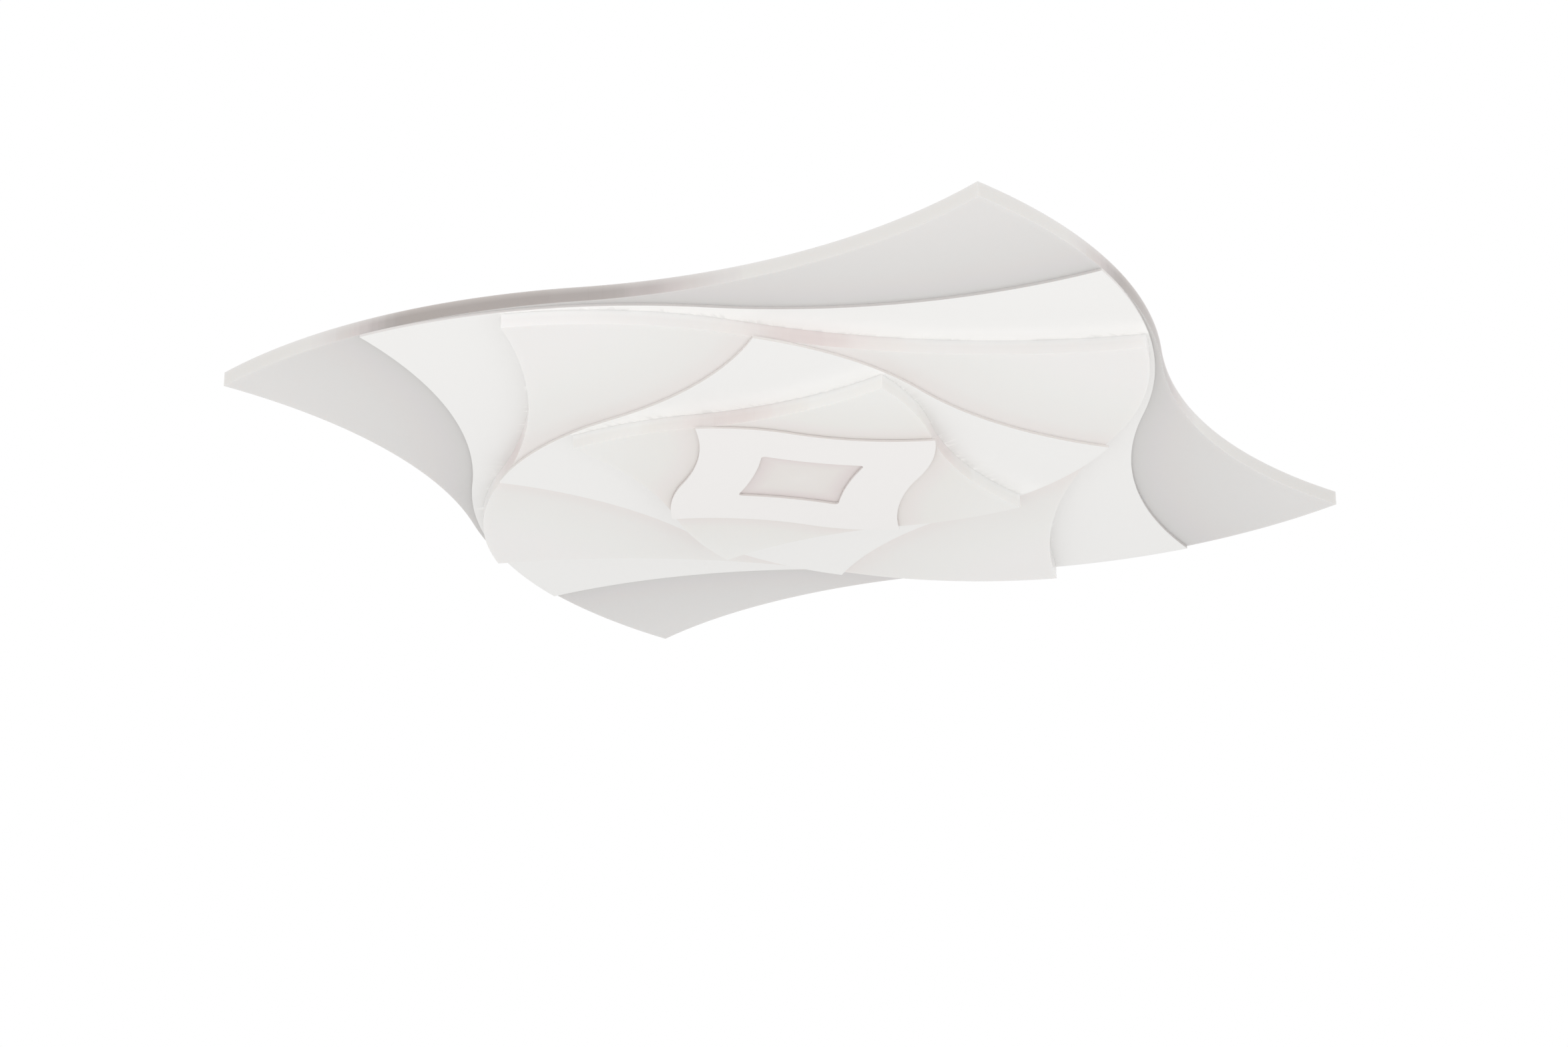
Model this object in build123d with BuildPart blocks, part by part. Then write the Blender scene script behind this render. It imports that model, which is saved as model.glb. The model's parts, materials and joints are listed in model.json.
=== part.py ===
from build123d import *
from math import cos, pi, radians, sin, tan
import os

os.makedirs("parts", exist_ok=True)

# LED ceiling light: three thick opal acrylic tiers and three thin sheets, each layer a
# wave-edged square turned further than the one above, under a round steel pan that hangs
# on a ring at the ceiling. Millimetres, +Z up, the origin in the ceiling plane.

# Layer thicknesses
slab = 11.2
sheet = 2.0

# Each layer's outline: corner radius, turn of the first corner, and the wave of one side.
# crossing is the share of the side where the bulge becomes the hollow, dip is how far that
# point lies inside the straight side, and slope is the wave's angle there.
large_tier_size = dict(radius=450.0, turn=15.2, crossing=0.49, dip=6.3, slope=21.0)
large_sheet_size = dict(radius=385.0, turn=33.1, crossing=0.475, dip=2.2, slope=18.8)
middle_tier_size = dict(radius=331.0, turn=49.2, crossing=0.37, dip=0.0, slope=16.5)
middle_sheet_size = dict(radius=240.0, turn=81.5, crossing=0.457, dip=1.2, slope=17.9)
small_tier_size = dict(radius=184.0, turn=18.8, crossing=0.38, dip=4.9, slope=13.7)
window_sheet_size = dict(radius=129.5, turn=51.9, crossing=0.404, dip=1.2, slope=15.0)

# Window in the last sheet
window_radius = 57.7
window_turn = 58.8
window_hollow = 3.1
window_fillet = 3.5

# Ceiling pan
rim_gap = 1.0
pan_depth = 45.0
pan_radius = 203.0
pan_steel = 1.2
pan_corner = 3.0

# Ceiling ring and its studs
ring_steel = 1.5
ring_outer = 196.0
ring_inner = 150.0
ring_lip = 6.5
ceiling_hole_circle = 165.0
ceiling_hole_radius = 2.75
ceiling_hole_count = 4
stud_circle = 184.0
stud_count = 4
stud_start = 45.0
stud_neck = 2.5
stud_collar = 4.5
stud_collar_height = 1.0
stud_head = 5.0
stud_head_height = 2.0
stud_chamfer = 0.4

# Hanger ring in the pan, with the keyhole arcs that take the studs
hanger_drop = 4.4
hanger_steel = 1.5
hanger_inner = 171.0
hanger_leg = 5.0
keyhole_turn = 15.0
keyhole_slot = 3.0
keyhole_entry = 5.8

# Bores in the tiers, and the LED dishes that stand in them
large_bore = 170.0
middle_bore = 118.0
small_pocket = 68.0
pocket_face = 3.0
dish_sheet = 1.2
dish_air = 6.0
dish_foot_air = 1.0
strip_thickness = 0.3
strip_width = 8.0
small_strip_width = 5.0
strip_opening = 7.0
led_long = 3.5
led_wide = 2.8
led_tall = 0.8
led_pitch = 17.0
board_radius = 44.0
board_thickness = 1.0
board_circles = {14.0: 6, 30.0: 12}

# Screws that hold the tiers, hidden under the next sheet
screw_radius = 2.0
screw_head = 4.0
screw_clearance = 0.15
large_screw_circle = 188.0
large_screw_count = 8
large_screw_start = 22.5
middle_screw_circle = 138.0
middle_screw_count = 6
middle_screw_start = 30.0
core_screw_circle = 56.0
core_screw_count = 4
spacer_radius = 4.5
nut_radius = 4.4
nut_height = 4.0
nut_spigot = 2.9
nut_bore_clearance = 0.05

# Leads and the way down through the middle of the stack
lead_radius = 1.6
lead_offset = 2.3
lead_direction = 60.0
lead_end_gap = 0.3
grommet_hole = 11.0
grommet_lip = 13.5
grommet_lip_height = 2.0
lead_clearance = 0.3
hump_height = 11.0
hump_step = 3.6
hump_bend = 6.0
drop_bend = 3.2
dish_centre_gap = 1.5
wire_radius = 1.3
lead_spread = 5.0
hump_spread = 5.5
hump_run = 13.5

# Ways of the leads over the floor: from the driver's end, then past the core nut; and from
# the terminal block's back face round to the driver's other end
led_route = [(18, 0), (27, -20), (20, -48), (-12, -65)]
led_gather = (31.5, 12.5)
supply_route = [(-12, 34), (-30, 62)]
supply_turn = [(-27, 100), (-30, -44), (-27, -14), (-17, 0)]
earth_route = [(10, 22), (28, 28)]
earth_turn = [(-12, 32), (-1, 24), (0, 14), (0, 5.5)]
entry_run = 12.0

# LED driver
driver_length = 150.0
driver_width = 44.0
driver_height = 26.0
driver_wall = 1.6
driver_y = 100.0
driver_ear = 12.0
driver_ear_height = 2.0
driver_cover_height = 2.4
driver_cover_lip = 3.0
driver_exit_height = 9.0
driver_exit_pitch = 6.0
driver_fillet = 2.0
driver_board_gap = 2.0
driver_board_thickness = 1.6
driver_part_height = 14.0
transformer_size = (26.0, 24.0)
choke_size = (16.0, 18.0)
capacitor_radius = 5.0
capacitor_offset = 7.0

# Terminal block with three levers
block_x = -62.0
block_y = -96.0
block_width = 33.0
block_depth = 28.0
block_height = 15.0
block_foot = 7.0
block_foot_height = 2.5
pole_pitch = 10.0
pole_count = 3
entry_radius = 1.7
entry_depth = 8.0
entry_height = 4.5
lever_width = 8.0
lever_length = 15.0
lever_thickness = 2.4
lever_barrel = 2.5
lever_pin_radius = 1.0
lever_gap = 0.3
finger_gap = 1.5
pin_clearance = 0.06
pivot_offset = 9.0

# Cable clamp
clamp_y = -128.0
clamp_width = 30.0
clamp_depth = 10.0
clamp_height = 8.0
clamp_strap = 6.5
cable_radius = 3.75
clamp_screw_offset = 10.0

# Small fasteners in the pan
small_screw_radius = 1.5
small_head_radius = 2.8
small_head_height = 1.8

# Protective earth
earth_x = 12.0
earth_y = -95.0
earth_stud_radius = 2.0
earth_stud_height = 11.0
earth_nut_flat = 7.0
earth_nut_height = 3.2
lug_radius = 4.2
lug_thickness = 0.8
lug_tail = 9.0

# Fit between pieces of one body that are pressed, welded or bonded
fit = 0.05

# Levels, from the ceiling plane down
pan_bottom = -(rim_gap + pan_depth)
floor_top = pan_bottom + pan_steel
large_tier_level = pan_bottom - slab
large_sheet_level = large_tier_level - sheet
middle_tier_level = large_sheet_level - slab
middle_sheet_level = middle_tier_level - sheet
small_tier_level = middle_sheet_level - slab
window_sheet_level = small_tier_level - sheet
pocket_level = small_tier_level + pocket_face
hanger_level = -(hanger_drop + hanger_steel)
stud_head_level = hanger_level - 0.3
core_screw_start = window_turn + 45.0

# Dish radii follow the bores
large_dish_radius = large_bore - dish_air
middle_dish_radius = middle_bore - dish_air
small_dish_radius = small_pocket - dish_air


def polar(radius, angle, height=0.0):
    return Vector(radius * cos(radians(angle)), radius * sin(radians(angle)), height)


def wave_square(radius, turn, crossing, dip, slope):
    # four corners, each side a bulge and then a hollow that meet without a kink
    with BuildSketch() as square:
        with BuildLine():
            for corner in range(4):
                start = polar(radius, turn + 90 * corner)
                end = polar(radius, turn + 90 * corner + 90)
                side = end - start
                inward = -(start + end).normalized()
                middle = start + side * crossing + inward * dip
                heading = side.rotate(Axis.Z, slope)
                TangentArc(middle, start, tangent=-heading)
                TangentArc(middle, end, tangent=heading)
        make_face()
    return square.sketch


def screw_holes(circle, count, start, radius):
    with PolarLocations(circle, count, start_angle=start):
        Circle(radius, mode=Mode.SUBTRACT)


def core_holes(centre_hole):
    # what every layer in the middle of the stack has: core screws and the way for the leads
    screw_holes(core_screw_circle, core_screw_count, core_screw_start, screw_radius + screw_clearance)
    Circle(centre_hole, mode=Mode.SUBTRACT)


def countersinks(level, circle, count, start):
    with Locations(Plane.XY.offset(level) * Rotation(180, 0, 0)):
        with PolarLocations(circle, count, start_angle=-start):
            CounterSinkHole(screw_radius + screw_clearance, screw_head + screw_clearance,
                            counter_sink_angle=90)


def finish(builder, name):
    builder.part.label = name
    export_step(builder.part, f"parts/{name}.step")


# Ceiling ring: flat steel ring with a turned-down lip at its inner edge
with BuildPart() as ceiling_ring:
    with BuildSketch(Plane.XY.offset(-ring_steel)):
        Circle(ring_outer)
        Circle(ring_inner, mode=Mode.SUBTRACT)
        screw_holes(ceiling_hole_circle, ceiling_hole_count, 0, ceiling_hole_radius)
        screw_holes(stud_circle, stud_count, stud_start, stud_neck + fit)
    extrude(amount=ring_steel)
    with BuildSketch(Plane.XY.offset(-ring_lip)):
        Circle(ring_inner + ring_steel)
        Circle(ring_inner, mode=Mode.SUBTRACT)
    extrude(amount=ring_lip)
finish(ceiling_ring, "ceiling_ring")

# Hanging studs: rivet tail, collar, neck and head
with BuildPart() as hanging_studs:
    with BuildSketch():
        with PolarLocations(stud_circle, stud_count, start_angle=stud_start):
            Circle(stud_neck)
    extrude(amount=stud_head_level)
    with BuildSketch(Plane.XY.offset(-ring_steel)):
        with PolarLocations(stud_circle, stud_count, start_angle=stud_start):
            Circle(stud_collar)
    extrude(amount=-stud_collar_height)
    with BuildSketch(Plane.XY.offset(stud_head_level)):
        with PolarLocations(stud_circle, stud_count, start_angle=stud_start):
            Circle(stud_head)
    extrude(amount=-stud_head_height)
    chamfer(hanging_studs.faces().sort_by(Axis.Z)[:stud_count].edges(), stud_chamfer)
finish(hanging_studs, "hanging_studs")

# Ceiling pan: pressed steel dish, open to the ceiling, that every other piece hangs on
with BuildPart() as ceiling_pan:
    with BuildSketch(Plane.XY.offset(pan_bottom)):
        Circle(pan_radius)
    extrude(amount=pan_depth)
    fillet(ceiling_pan.faces().sort_by(Axis.Z)[0].edges(), pan_corner)
    offset(amount=-pan_steel, openings=ceiling_pan.faces().sort_by(Axis.Z)[-1])
    with BuildSketch(Plane.XY.offset(pan_bottom)):
        Circle(grommet_hole)
        for circle, count, start in (
            (large_screw_circle, large_screw_count, large_screw_start),
            (middle_screw_circle, middle_screw_count, middle_screw_start),
            (core_screw_circle, core_screw_count, core_screw_start),
        ):
            with PolarLocations(circle, count, start_angle=start):
                Circle(nut_spigot + fit)
        with Locations((earth_x, earth_y)):
            Circle(earth_stud_radius + fit)
        with Locations((driver_length / 2 + driver_ear / 2, driver_y), (-driver_length / 2 - driver_ear / 2, driver_y)):
            Circle(small_screw_radius + fit)
        with Locations((block_x, block_y)):
            with GridLocations(block_width + block_foot, 1, 2, 1):
                Circle(small_screw_radius + fit)
        with Locations((block_x, clamp_y)):
            with GridLocations(2 * clamp_screw_offset, 1, 2, 1):
                Circle(small_screw_radius + fit)
    extrude(amount=pan_steel, mode=Mode.SUBTRACT)
finish(ceiling_pan, "ceiling_pan")

# Hanger ring: flange with four keyhole arcs, and a leg that is welded to the pan's wall
with BuildPart() as hanger_ring:
    hanger_outer = pan_radius - pan_steel - fit
    with BuildSketch(Plane.XY.offset(hanger_level)):
        Circle(hanger_outer)
        Circle(hanger_inner, mode=Mode.SUBTRACT)
        for stud in range(stud_count):
            seat = stud_start + stud * 360 / stud_count
            arc = CenterArc((0, 0), stud_circle, seat - keyhole_turn, keyhole_turn, mode=Mode.PRIVATE)
            SlotArc(arc, 2 * keyhole_slot, mode=Mode.SUBTRACT)
        screw_holes(stud_circle, stud_count, stud_start - keyhole_turn, keyhole_entry)
    extrude(amount=hanger_steel)
    with BuildSketch(Plane.XY.offset(hanger_level)):
        Circle(hanger_outer)
        Circle(hanger_outer - hanger_steel, mode=Mode.SUBTRACT)
    extrude(amount=-hanger_leg)
finish(hanger_ring, "hanger_ring")

# Large tier: thick opal slab, bored for the largest LED dish
with BuildPart() as large_tier:
    with BuildSketch(Plane.XY.offset(large_tier_level)):
        add(wave_square(**large_tier_size))
        Circle(large_bore, mode=Mode.SUBTRACT)
    extrude(amount=slab)
    countersinks(large_tier_level, large_screw_circle, large_screw_count, large_screw_start)
finish(large_tier, "large_tier")

# Large sheet: thin opal sheet that closes the large tier's bore
with BuildPart() as large_sheet:
    with BuildSketch(Plane.XY.offset(large_sheet_level)):
        add(wave_square(**large_sheet_size))
        core_holes(2 * lead_offset + lead_radius + lead_clearance)
        screw_holes(middle_screw_circle, middle_screw_count, middle_screw_start, screw_radius + screw_clearance)
    extrude(amount=sheet)
finish(large_sheet, "large_sheet")

# Middle tier
with BuildPart() as middle_tier:
    with BuildSketch(Plane.XY.offset(middle_tier_level)):
        add(wave_square(**middle_tier_size))
        Circle(middle_bore, mode=Mode.SUBTRACT)
    extrude(amount=slab)
    countersinks(middle_tier_level, middle_screw_circle, middle_screw_count, middle_screw_start)
finish(middle_tier, "middle_tier")

# Middle sheet
with BuildPart() as middle_sheet:
    with BuildSketch(Plane.XY.offset(middle_sheet_level)):
        add(wave_square(**middle_sheet_size))
        core_holes(2 * lead_offset + lead_radius + lead_clearance)
    extrude(amount=sheet)
finish(middle_sheet, "middle_sheet")

# Small tier: a blind pocket behind its face holds the smallest dish and the centre board
with BuildPart() as small_tier:
    with BuildSketch(Plane.XY.offset(small_tier_level)):
        add(wave_square(**small_tier_size))
    extrude(amount=slab)
    with BuildSketch(Plane.XY.offset(pocket_level)):
        Circle(small_pocket)
    extrude(amount=slab - pocket_face, mode=Mode.SUBTRACT)
    countersinks(small_tier_level, core_screw_circle, core_screw_count, core_screw_start)
finish(small_tier, "small_tier")

# Window sheet: the last sheet, with a hollow-sided window in its middle
with BuildPart() as window_sheet:
    with BuildSketch(Plane.XY.offset(window_sheet_level)):
        add(wave_square(**window_sheet_size))
    extrude(amount=sheet)
    with BuildSketch(Plane.XY.offset(window_sheet_level)) as window:
        with BuildLine():
            for corner in range(4):
                start = polar(window_radius, window_turn + 90 * corner)
                end = polar(window_radius, window_turn + 90 * corner + 90)
                SagittaArc(start, end, window_hollow)
        make_face()
        fillet(window.vertices(), window_fillet)
    extrude(amount=sheet, mode=Mode.SUBTRACT)
finish(window_sheet, "window_sheet")


def led_dish(radius, level, drop, centre_hole, middle_screws):
    # aluminium disc under the layer above, with a turned-down rim that carries the strip
    with BuildPart() as dish:
        with BuildSketch(Plane.XY.offset(level - dish_sheet)):
            Circle(radius)
            core_holes(centre_hole)
            if middle_screws:
                screw_holes(middle_screw_circle, middle_screw_count, middle_screw_start,
                            screw_radius + screw_clearance)
        extrude(amount=dish_sheet)
        with BuildSketch(Plane.XY.offset(level - drop)):
            Circle(radius)
            Circle(radius - dish_sheet, mode=Mode.SUBTRACT)
        extrude(amount=drop)
        exit_height = level - (drop + dish_sheet) / 2
        rim_plane = Plane(origin=polar(radius, lead_direction, exit_height), z_dir=polar(1, lead_direction))
        with BuildSketch(rim_plane):
            Circle(lead_radius + lead_clearance)
        extrude(amount=-2 * dish_sheet, mode=Mode.SUBTRACT)
    return dish


def led_strip(radius, level, drop, width):
    # flexible circuit round the rim, its ends either side of the lead's hole
    middle = level - (drop + dish_sheet) / 2
    with BuildPart() as strip:
        with BuildSketch(Plane.XY.offset(middle - width / 2)):
            Circle(radius + fit + strip_thickness)
            Circle(radius + fit, mode=Mode.SUBTRACT)
            with Locations(polar(radius, lead_direction)):
                Rectangle(4 * dish_sheet, strip_opening, rotation=lead_direction, mode=Mode.SUBTRACT)
        extrude(amount=width)
    return strip


def led_row(radius, level, drop):
    # LED packages at an even pitch, the place over the lead's hole left free
    seat = radius + fit + strip_thickness + led_tall / 2
    count = int(2 * pi * seat / led_pitch)
    step = 360 / count
    with BuildPart(Plane.XY.offset(level - (drop + dish_sheet) / 2)) as row:
        with PolarLocations(seat, count, start_angle=lead_direction + step / 2):
            Box(led_tall, led_long, led_wide)
    return row


# The three dishes, their strips and LEDs
bore_drop = slab - dish_foot_air
pocket_drop = slab - pocket_face - dish_foot_air
large_dish_hole = grommet_lip + dish_centre_gap
small_dish_hole = 2 * lead_offset + lead_radius + lead_clearance
for name, radius, level, drop, hole, middle_screws, width in (
    ("large", large_dish_radius, pan_bottom, bore_drop, large_dish_hole, True, strip_width),
    ("middle", middle_dish_radius, large_sheet_level, bore_drop, small_dish_hole, False, strip_width),
    ("small", small_dish_radius, middle_sheet_level, pocket_drop, small_dish_hole, False, small_strip_width),
):
    finish(led_dish(radius, level, drop, hole, middle_screws), f"{name}_led_dish")
    finish(led_strip(radius, level, drop, width), f"{name}_led_strip")
    finish(led_row(radius, level, drop), f"{name}_leds")

# Centre board behind the window, with its LEDs facing down
board_level = middle_sheet_level - dish_sheet - board_thickness
with BuildPart() as centre_board:
    with BuildSketch(Plane.XY.offset(board_level)):
        Circle(board_radius)
        Circle(small_dish_hole, mode=Mode.SUBTRACT)
    extrude(amount=board_thickness)
finish(centre_board, "centre_board")

with BuildPart(Plane.XY.offset(board_level - led_tall / 2)) as centre_leds:
    for circle, count in board_circles.items():
        with PolarLocations(circle, count, start_angle=lead_direction + 180 / count):
            Box(led_long, led_wide, led_tall)
finish(centre_leds, "centre_leds")


def spacers(circle, count, start, level, length):
    with BuildPart() as tubes:
        with BuildSketch(Plane.XY.offset(level)):
            with PolarLocations(circle, count, start_angle=start):
                Circle(spacer_radius)
                Circle(screw_radius + screw_clearance, mode=Mode.SUBTRACT)
        extrude(amount=length)
    return tubes


# Spacer tubes that carry the stack across the bores
core = (core_screw_circle, core_screw_count, core_screw_start)
middle = (middle_screw_circle, middle_screw_count, middle_screw_start)
large = (large_screw_circle, large_screw_count, large_screw_start)
bore_span = slab - dish_sheet
finish(spacers(*middle, large_tier_level, bore_span), "outer_spacers")
finish(spacers(*core, large_tier_level, bore_span), "upper_core_spacers")
finish(spacers(*core, middle_tier_level, bore_span), "middle_core_spacers")
finish(spacers(*core, pocket_level, bore_span - pocket_face), "lower_core_spacers")


def countersunk_screws(circle, count, start, level):
    # head flush with the layer's lower face, tip level with the top of its press nut
    with BuildPart() as screws:
        with BuildSketch(Plane.XY.offset(level)):
            with PolarLocations(circle, count, start_angle=start):
                Circle(screw_radius)
        extrude(amount=floor_top + nut_height - level)
        with PolarLocations(circle, count, start_angle=start):
            with Locations((0, 0, level + (screw_head - screw_radius) / 2)):
                Cone(screw_head, screw_radius, screw_head - screw_radius)
    return screws


def press_nuts(circle, count, start):
    # hexagon on the pan's floor, with a spigot pressed into the floor's hole
    with BuildPart() as nuts:
        with BuildSketch(Plane.XY.offset(pan_bottom)):
            with PolarLocations(circle, count, start_angle=start):
                Circle(nut_spigot)
        extrude(amount=pan_steel)
        with BuildSketch(Plane.XY.offset(floor_top)):
            with PolarLocations(circle, count, start_angle=start):
                RegularPolygon(nut_radius, 6)
        extrude(amount=nut_height)
        with BuildSketch(Plane.XY.offset(pan_bottom)):
            with PolarLocations(circle, count, start_angle=start):
                Circle(screw_radius + nut_bore_clearance)
        extrude(amount=pan_steel + nut_height, mode=Mode.SUBTRACT)
    return nuts


# Tier screws and the press nuts they turn into
for name, row, level in (
    ("large_tier", large, large_tier_level),
    ("middle_tier", middle, middle_tier_level),
    ("core", core, small_tier_level),
):
    finish(countersunk_screws(*row, level), f"{name}_screws")
    finish(press_nuts(*row), f"{name}_nuts")

# Grommet round the pan's centre hole
with BuildPart() as lead_grommet:
    with BuildSketch(Plane.XY.offset(pan_bottom - grommet_lip_height)):
        Circle(grommet_lip)
    extrude(amount=grommet_lip_height)
    with BuildSketch(Plane.XY.offset(pan_bottom)):
        Circle(grommet_hole - fit)
    extrude(amount=pan_steel)
    with BuildSketch(Plane.XY.offset(floor_top)):
        Circle(grommet_lip)
    extrude(amount=grommet_lip_height)
    with BuildSketch(Plane.XY.offset(pan_bottom - grommet_lip_height)):
        Circle(lead_offset + lead_radius + lead_clearance)
    extrude(amount=pan_steel + 2 * grommet_lip_height, mode=Mode.SUBTRACT)
finish(lead_grommet, "lead_grommet")

# Driver case: open box with a screw ear at each end and holes for the leads
driver_half = driver_length / 2
exit_level = floor_top + driver_exit_height
with BuildPart() as driver_case:
    with BuildSketch(Plane.XY.offset(floor_top)):
        with Locations((0, driver_y)):
            Rectangle(driver_length, driver_width)
    extrude(amount=driver_height)
    fillet(driver_case.edges().filter_by(Axis.Z), driver_fillet)
    offset(amount=-driver_wall, openings=driver_case.faces().sort_by(Axis.Z)[-1])
    with BuildSketch(Plane.XY.offset(floor_top)):
        for end in (-1, 1):
            with Locations((end * (driver_half + driver_ear / 2), driver_y)):
                Rectangle(driver_ear, driver_width / 2)
                Circle(small_screw_radius + fit, mode=Mode.SUBTRACT)
    extrude(amount=driver_ear_height)
    output_plane = Plane(origin=(driver_half, driver_y, exit_level), x_dir=(0, 1, 0), z_dir=(1, 0, 0))
    with BuildSketch(output_plane):
        with GridLocations(driver_exit_pitch, 1, 3, 1):
            Circle(lead_radius + fit)
    extrude(amount=-driver_wall, mode=Mode.SUBTRACT)
    input_plane = Plane(origin=(-driver_half, driver_y, exit_level), x_dir=(0, 1, 0), z_dir=(-1, 0, 0))
    with BuildSketch(input_plane):
        with GridLocations(driver_exit_pitch, 1, 2, 1):
            Circle(wire_radius + fit)
    extrude(amount=-driver_wall, mode=Mode.SUBTRACT)
finish(driver_case, "driver_case")

# Driver cover: lid with a lip that drops inside the case
with BuildPart() as driver_cover:
    with BuildSketch(Plane.XY.offset(floor_top + driver_height)):
        with Locations((0, driver_y)):
            RectangleRounded(driver_length, driver_width, driver_fillet)
    extrude(amount=driver_cover_height)
    chamfer(driver_cover.faces().sort_by(Axis.Z)[-1].edges(), driver_cover_height / 3)
    inner_length = driver_length - 2 * (driver_wall + fit)
    inner_width = driver_width - 2 * (driver_wall + fit)
    with BuildSketch(Plane.XY.offset(floor_top + driver_height)):
        with Locations((0, driver_y)):
            RectangleRounded(inner_length, inner_width, driver_wall / 2)
            Rectangle(inner_length - 2 * driver_wall, inner_width - 2 * driver_wall, mode=Mode.SUBTRACT)
    extrude(amount=-driver_cover_lip)
finish(driver_cover, "driver_cover")

# Driver board: circuit board with a transformer, a choke and two capacitors
driver_board_level = floor_top + driver_wall + driver_board_gap
with BuildPart() as driver_board:
    with BuildSketch(Plane.XY.offset(floor_top + driver_wall)):
        with Locations((0, driver_y)):
            with GridLocations(driver_length * 0.85, driver_width * 0.7, 2, 2):
                Circle(driver_board_gap)
    extrude(amount=driver_board_gap)
    with BuildSketch(Plane.XY.offset(driver_board_level)):
        with Locations((0, driver_y)):
            Rectangle(driver_length - 4 * driver_wall, driver_width - 4 * driver_wall)
    extrude(amount=driver_board_thickness)
    with BuildSketch(Plane.XY.offset(driver_board_level + driver_board_thickness)):
        with Locations((driver_length / 8, driver_y)):
            Rectangle(*transformer_size)
        with Locations((-driver_length / 4, driver_y)):
            Rectangle(*choke_size)
        with Locations((-driver_length / 12, driver_y)):
            with GridLocations(1, 2 * capacitor_offset, 1, 2):
                Circle(capacitor_radius)
    extrude(amount=driver_part_height)
finish(driver_board, "driver_board")


def pan_screws(places, seat):
    # pan-head screws through a foot into the pan's floor
    with BuildPart() as screws:
        with BuildSketch(Plane.XY.offset(pan_bottom)):
            with Locations(*places):
                Circle(small_screw_radius)
        extrude(amount=seat - pan_bottom)
        with BuildSketch(Plane.XY.offset(seat)):
            with Locations(*places):
                Circle(small_head_radius)
        extrude(amount=small_head_height)
        chamfer(screws.faces().sort_by(Axis.Z)[-len(places):].edges(), small_head_height / 3)
    return screws


driver_ears = [(end * (driver_half + driver_ear / 2), driver_y) for end in (-1, 1)]
finish(pan_screws(driver_ears, floor_top + driver_ear_height), "driver_screws")

# Terminal block: three lever recesses in its top, entries for the supply's wires from above,
# in front of the levers, and entries for the lamp's own wires in its back face
pivot_y = block_y + pivot_offset
pivot_level = floor_top + block_height - lever_barrel
block_face = block_y - block_depth / 2
block_back = block_y + block_depth / 2
recess_back = pivot_y + lever_barrel + lever_gap
recess_front = pivot_y - lever_length - finger_gap
with BuildPart() as terminal_block:
    with BuildSketch(Plane.XY.offset(floor_top)):
        with Locations((block_x, block_y)):
            Rectangle(block_width, block_depth)
    extrude(amount=block_height)
    with BuildSketch(Plane.XY.offset(floor_top)):
        with Locations((block_x, block_y)):
            Rectangle(block_width + 2 * block_foot, block_depth / 3)
            with GridLocations(block_width + block_foot, 1, 2, 1):
                Circle(small_screw_radius + fit, mode=Mode.SUBTRACT)
    extrude(amount=block_foot_height)
    with BuildSketch(Plane.XY.offset(pivot_level - lever_barrel - lever_gap)):
        with Locations((block_x, (recess_back + recess_front) / 2)):
            with GridLocations(pole_pitch, 1, pole_count, 1):
                Rectangle(lever_width + 2 * lever_gap, recess_back - recess_front)
    extrude(amount=2 * lever_barrel + lever_gap, mode=Mode.SUBTRACT)
    with BuildSketch(Plane(origin=(block_x - block_width / 2, pivot_y, pivot_level), z_dir=(1, 0, 0))):
        Circle(lever_pin_radius + fit)
    extrude(amount=block_width, mode=Mode.SUBTRACT)
    with BuildSketch(Plane.XY.offset(floor_top + block_height)):
        with Locations((block_x, (block_face + recess_front) / 2)):
            with GridLocations(pole_pitch, 1, pole_count, 1):
                Circle(entry_radius)
    extrude(amount=-entry_depth, mode=Mode.SUBTRACT)
    entry_level = floor_top + entry_height
    back_plane = Plane(origin=(block_x, block_back, entry_level), x_dir=(1, 0, 0), z_dir=(0, 1, 0))
    with BuildSketch(back_plane):
        with GridLocations(pole_pitch, 1, pole_count, 1):
            Circle(entry_radius)
    extrude(amount=-entry_depth, mode=Mode.SUBTRACT)
finish(terminal_block, "terminal_block")

with BuildPart() as lever_pin:
    with BuildSketch(Plane(origin=(block_x - block_width / 2, pivot_y, pivot_level), z_dir=(1, 0, 0))):
        Circle(lever_pin_radius)
    extrude(amount=block_width)
finish(lever_pin, "lever_pin")


def clamp_lever(pole):
    # barrel on the pin, and a flat handle that lies in the block's recess
    left = block_x + pole * pole_pitch - lever_width / 2
    with BuildPart() as lever:
        with BuildSketch(Plane(origin=(left, pivot_y, pivot_level), x_dir=(0, 1, 0), z_dir=(1, 0, 0))):
            Circle(lever_barrel)
            with Locations((-lever_length / 2, lever_barrel - lever_thickness / 2)):
                Rectangle(lever_length, lever_thickness)
            Circle(lever_pin_radius + pin_clearance, mode=Mode.SUBTRACT)
        extrude(amount=lever_width)
    return lever


for pole, name in ((-1, "live_lever"), (0, "neutral_lever"), (1, "earth_lever")):
    finish(clamp_lever(pole), name)

block_feet = [(block_x + side * (block_width + block_foot) / 2, block_y) for side in (-1, 1)]
finish(pan_screws(block_feet, floor_top + block_foot_height), "terminal_screws")

# Cable clamp: base and strap, each with half of the cable's groove
groove_plane = Plane(origin=(block_x, clamp_y, floor_top + clamp_height), x_dir=(1, 0, 0), z_dir=(0, 1, 0))
with BuildPart() as clamp_base:
    with BuildSketch(Plane.XY.offset(floor_top)):
        with Locations((block_x, clamp_y)):
            Rectangle(clamp_width, clamp_depth)
            with GridLocations(2 * clamp_screw_offset, 1, 2, 1):
                Circle(small_screw_radius + fit, mode=Mode.SUBTRACT)
    extrude(amount=clamp_height)
    with BuildSketch(groove_plane):
        Circle(cable_radius)
    extrude(amount=clamp_depth, both=True, mode=Mode.SUBTRACT)
finish(clamp_base, "clamp_base")

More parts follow.
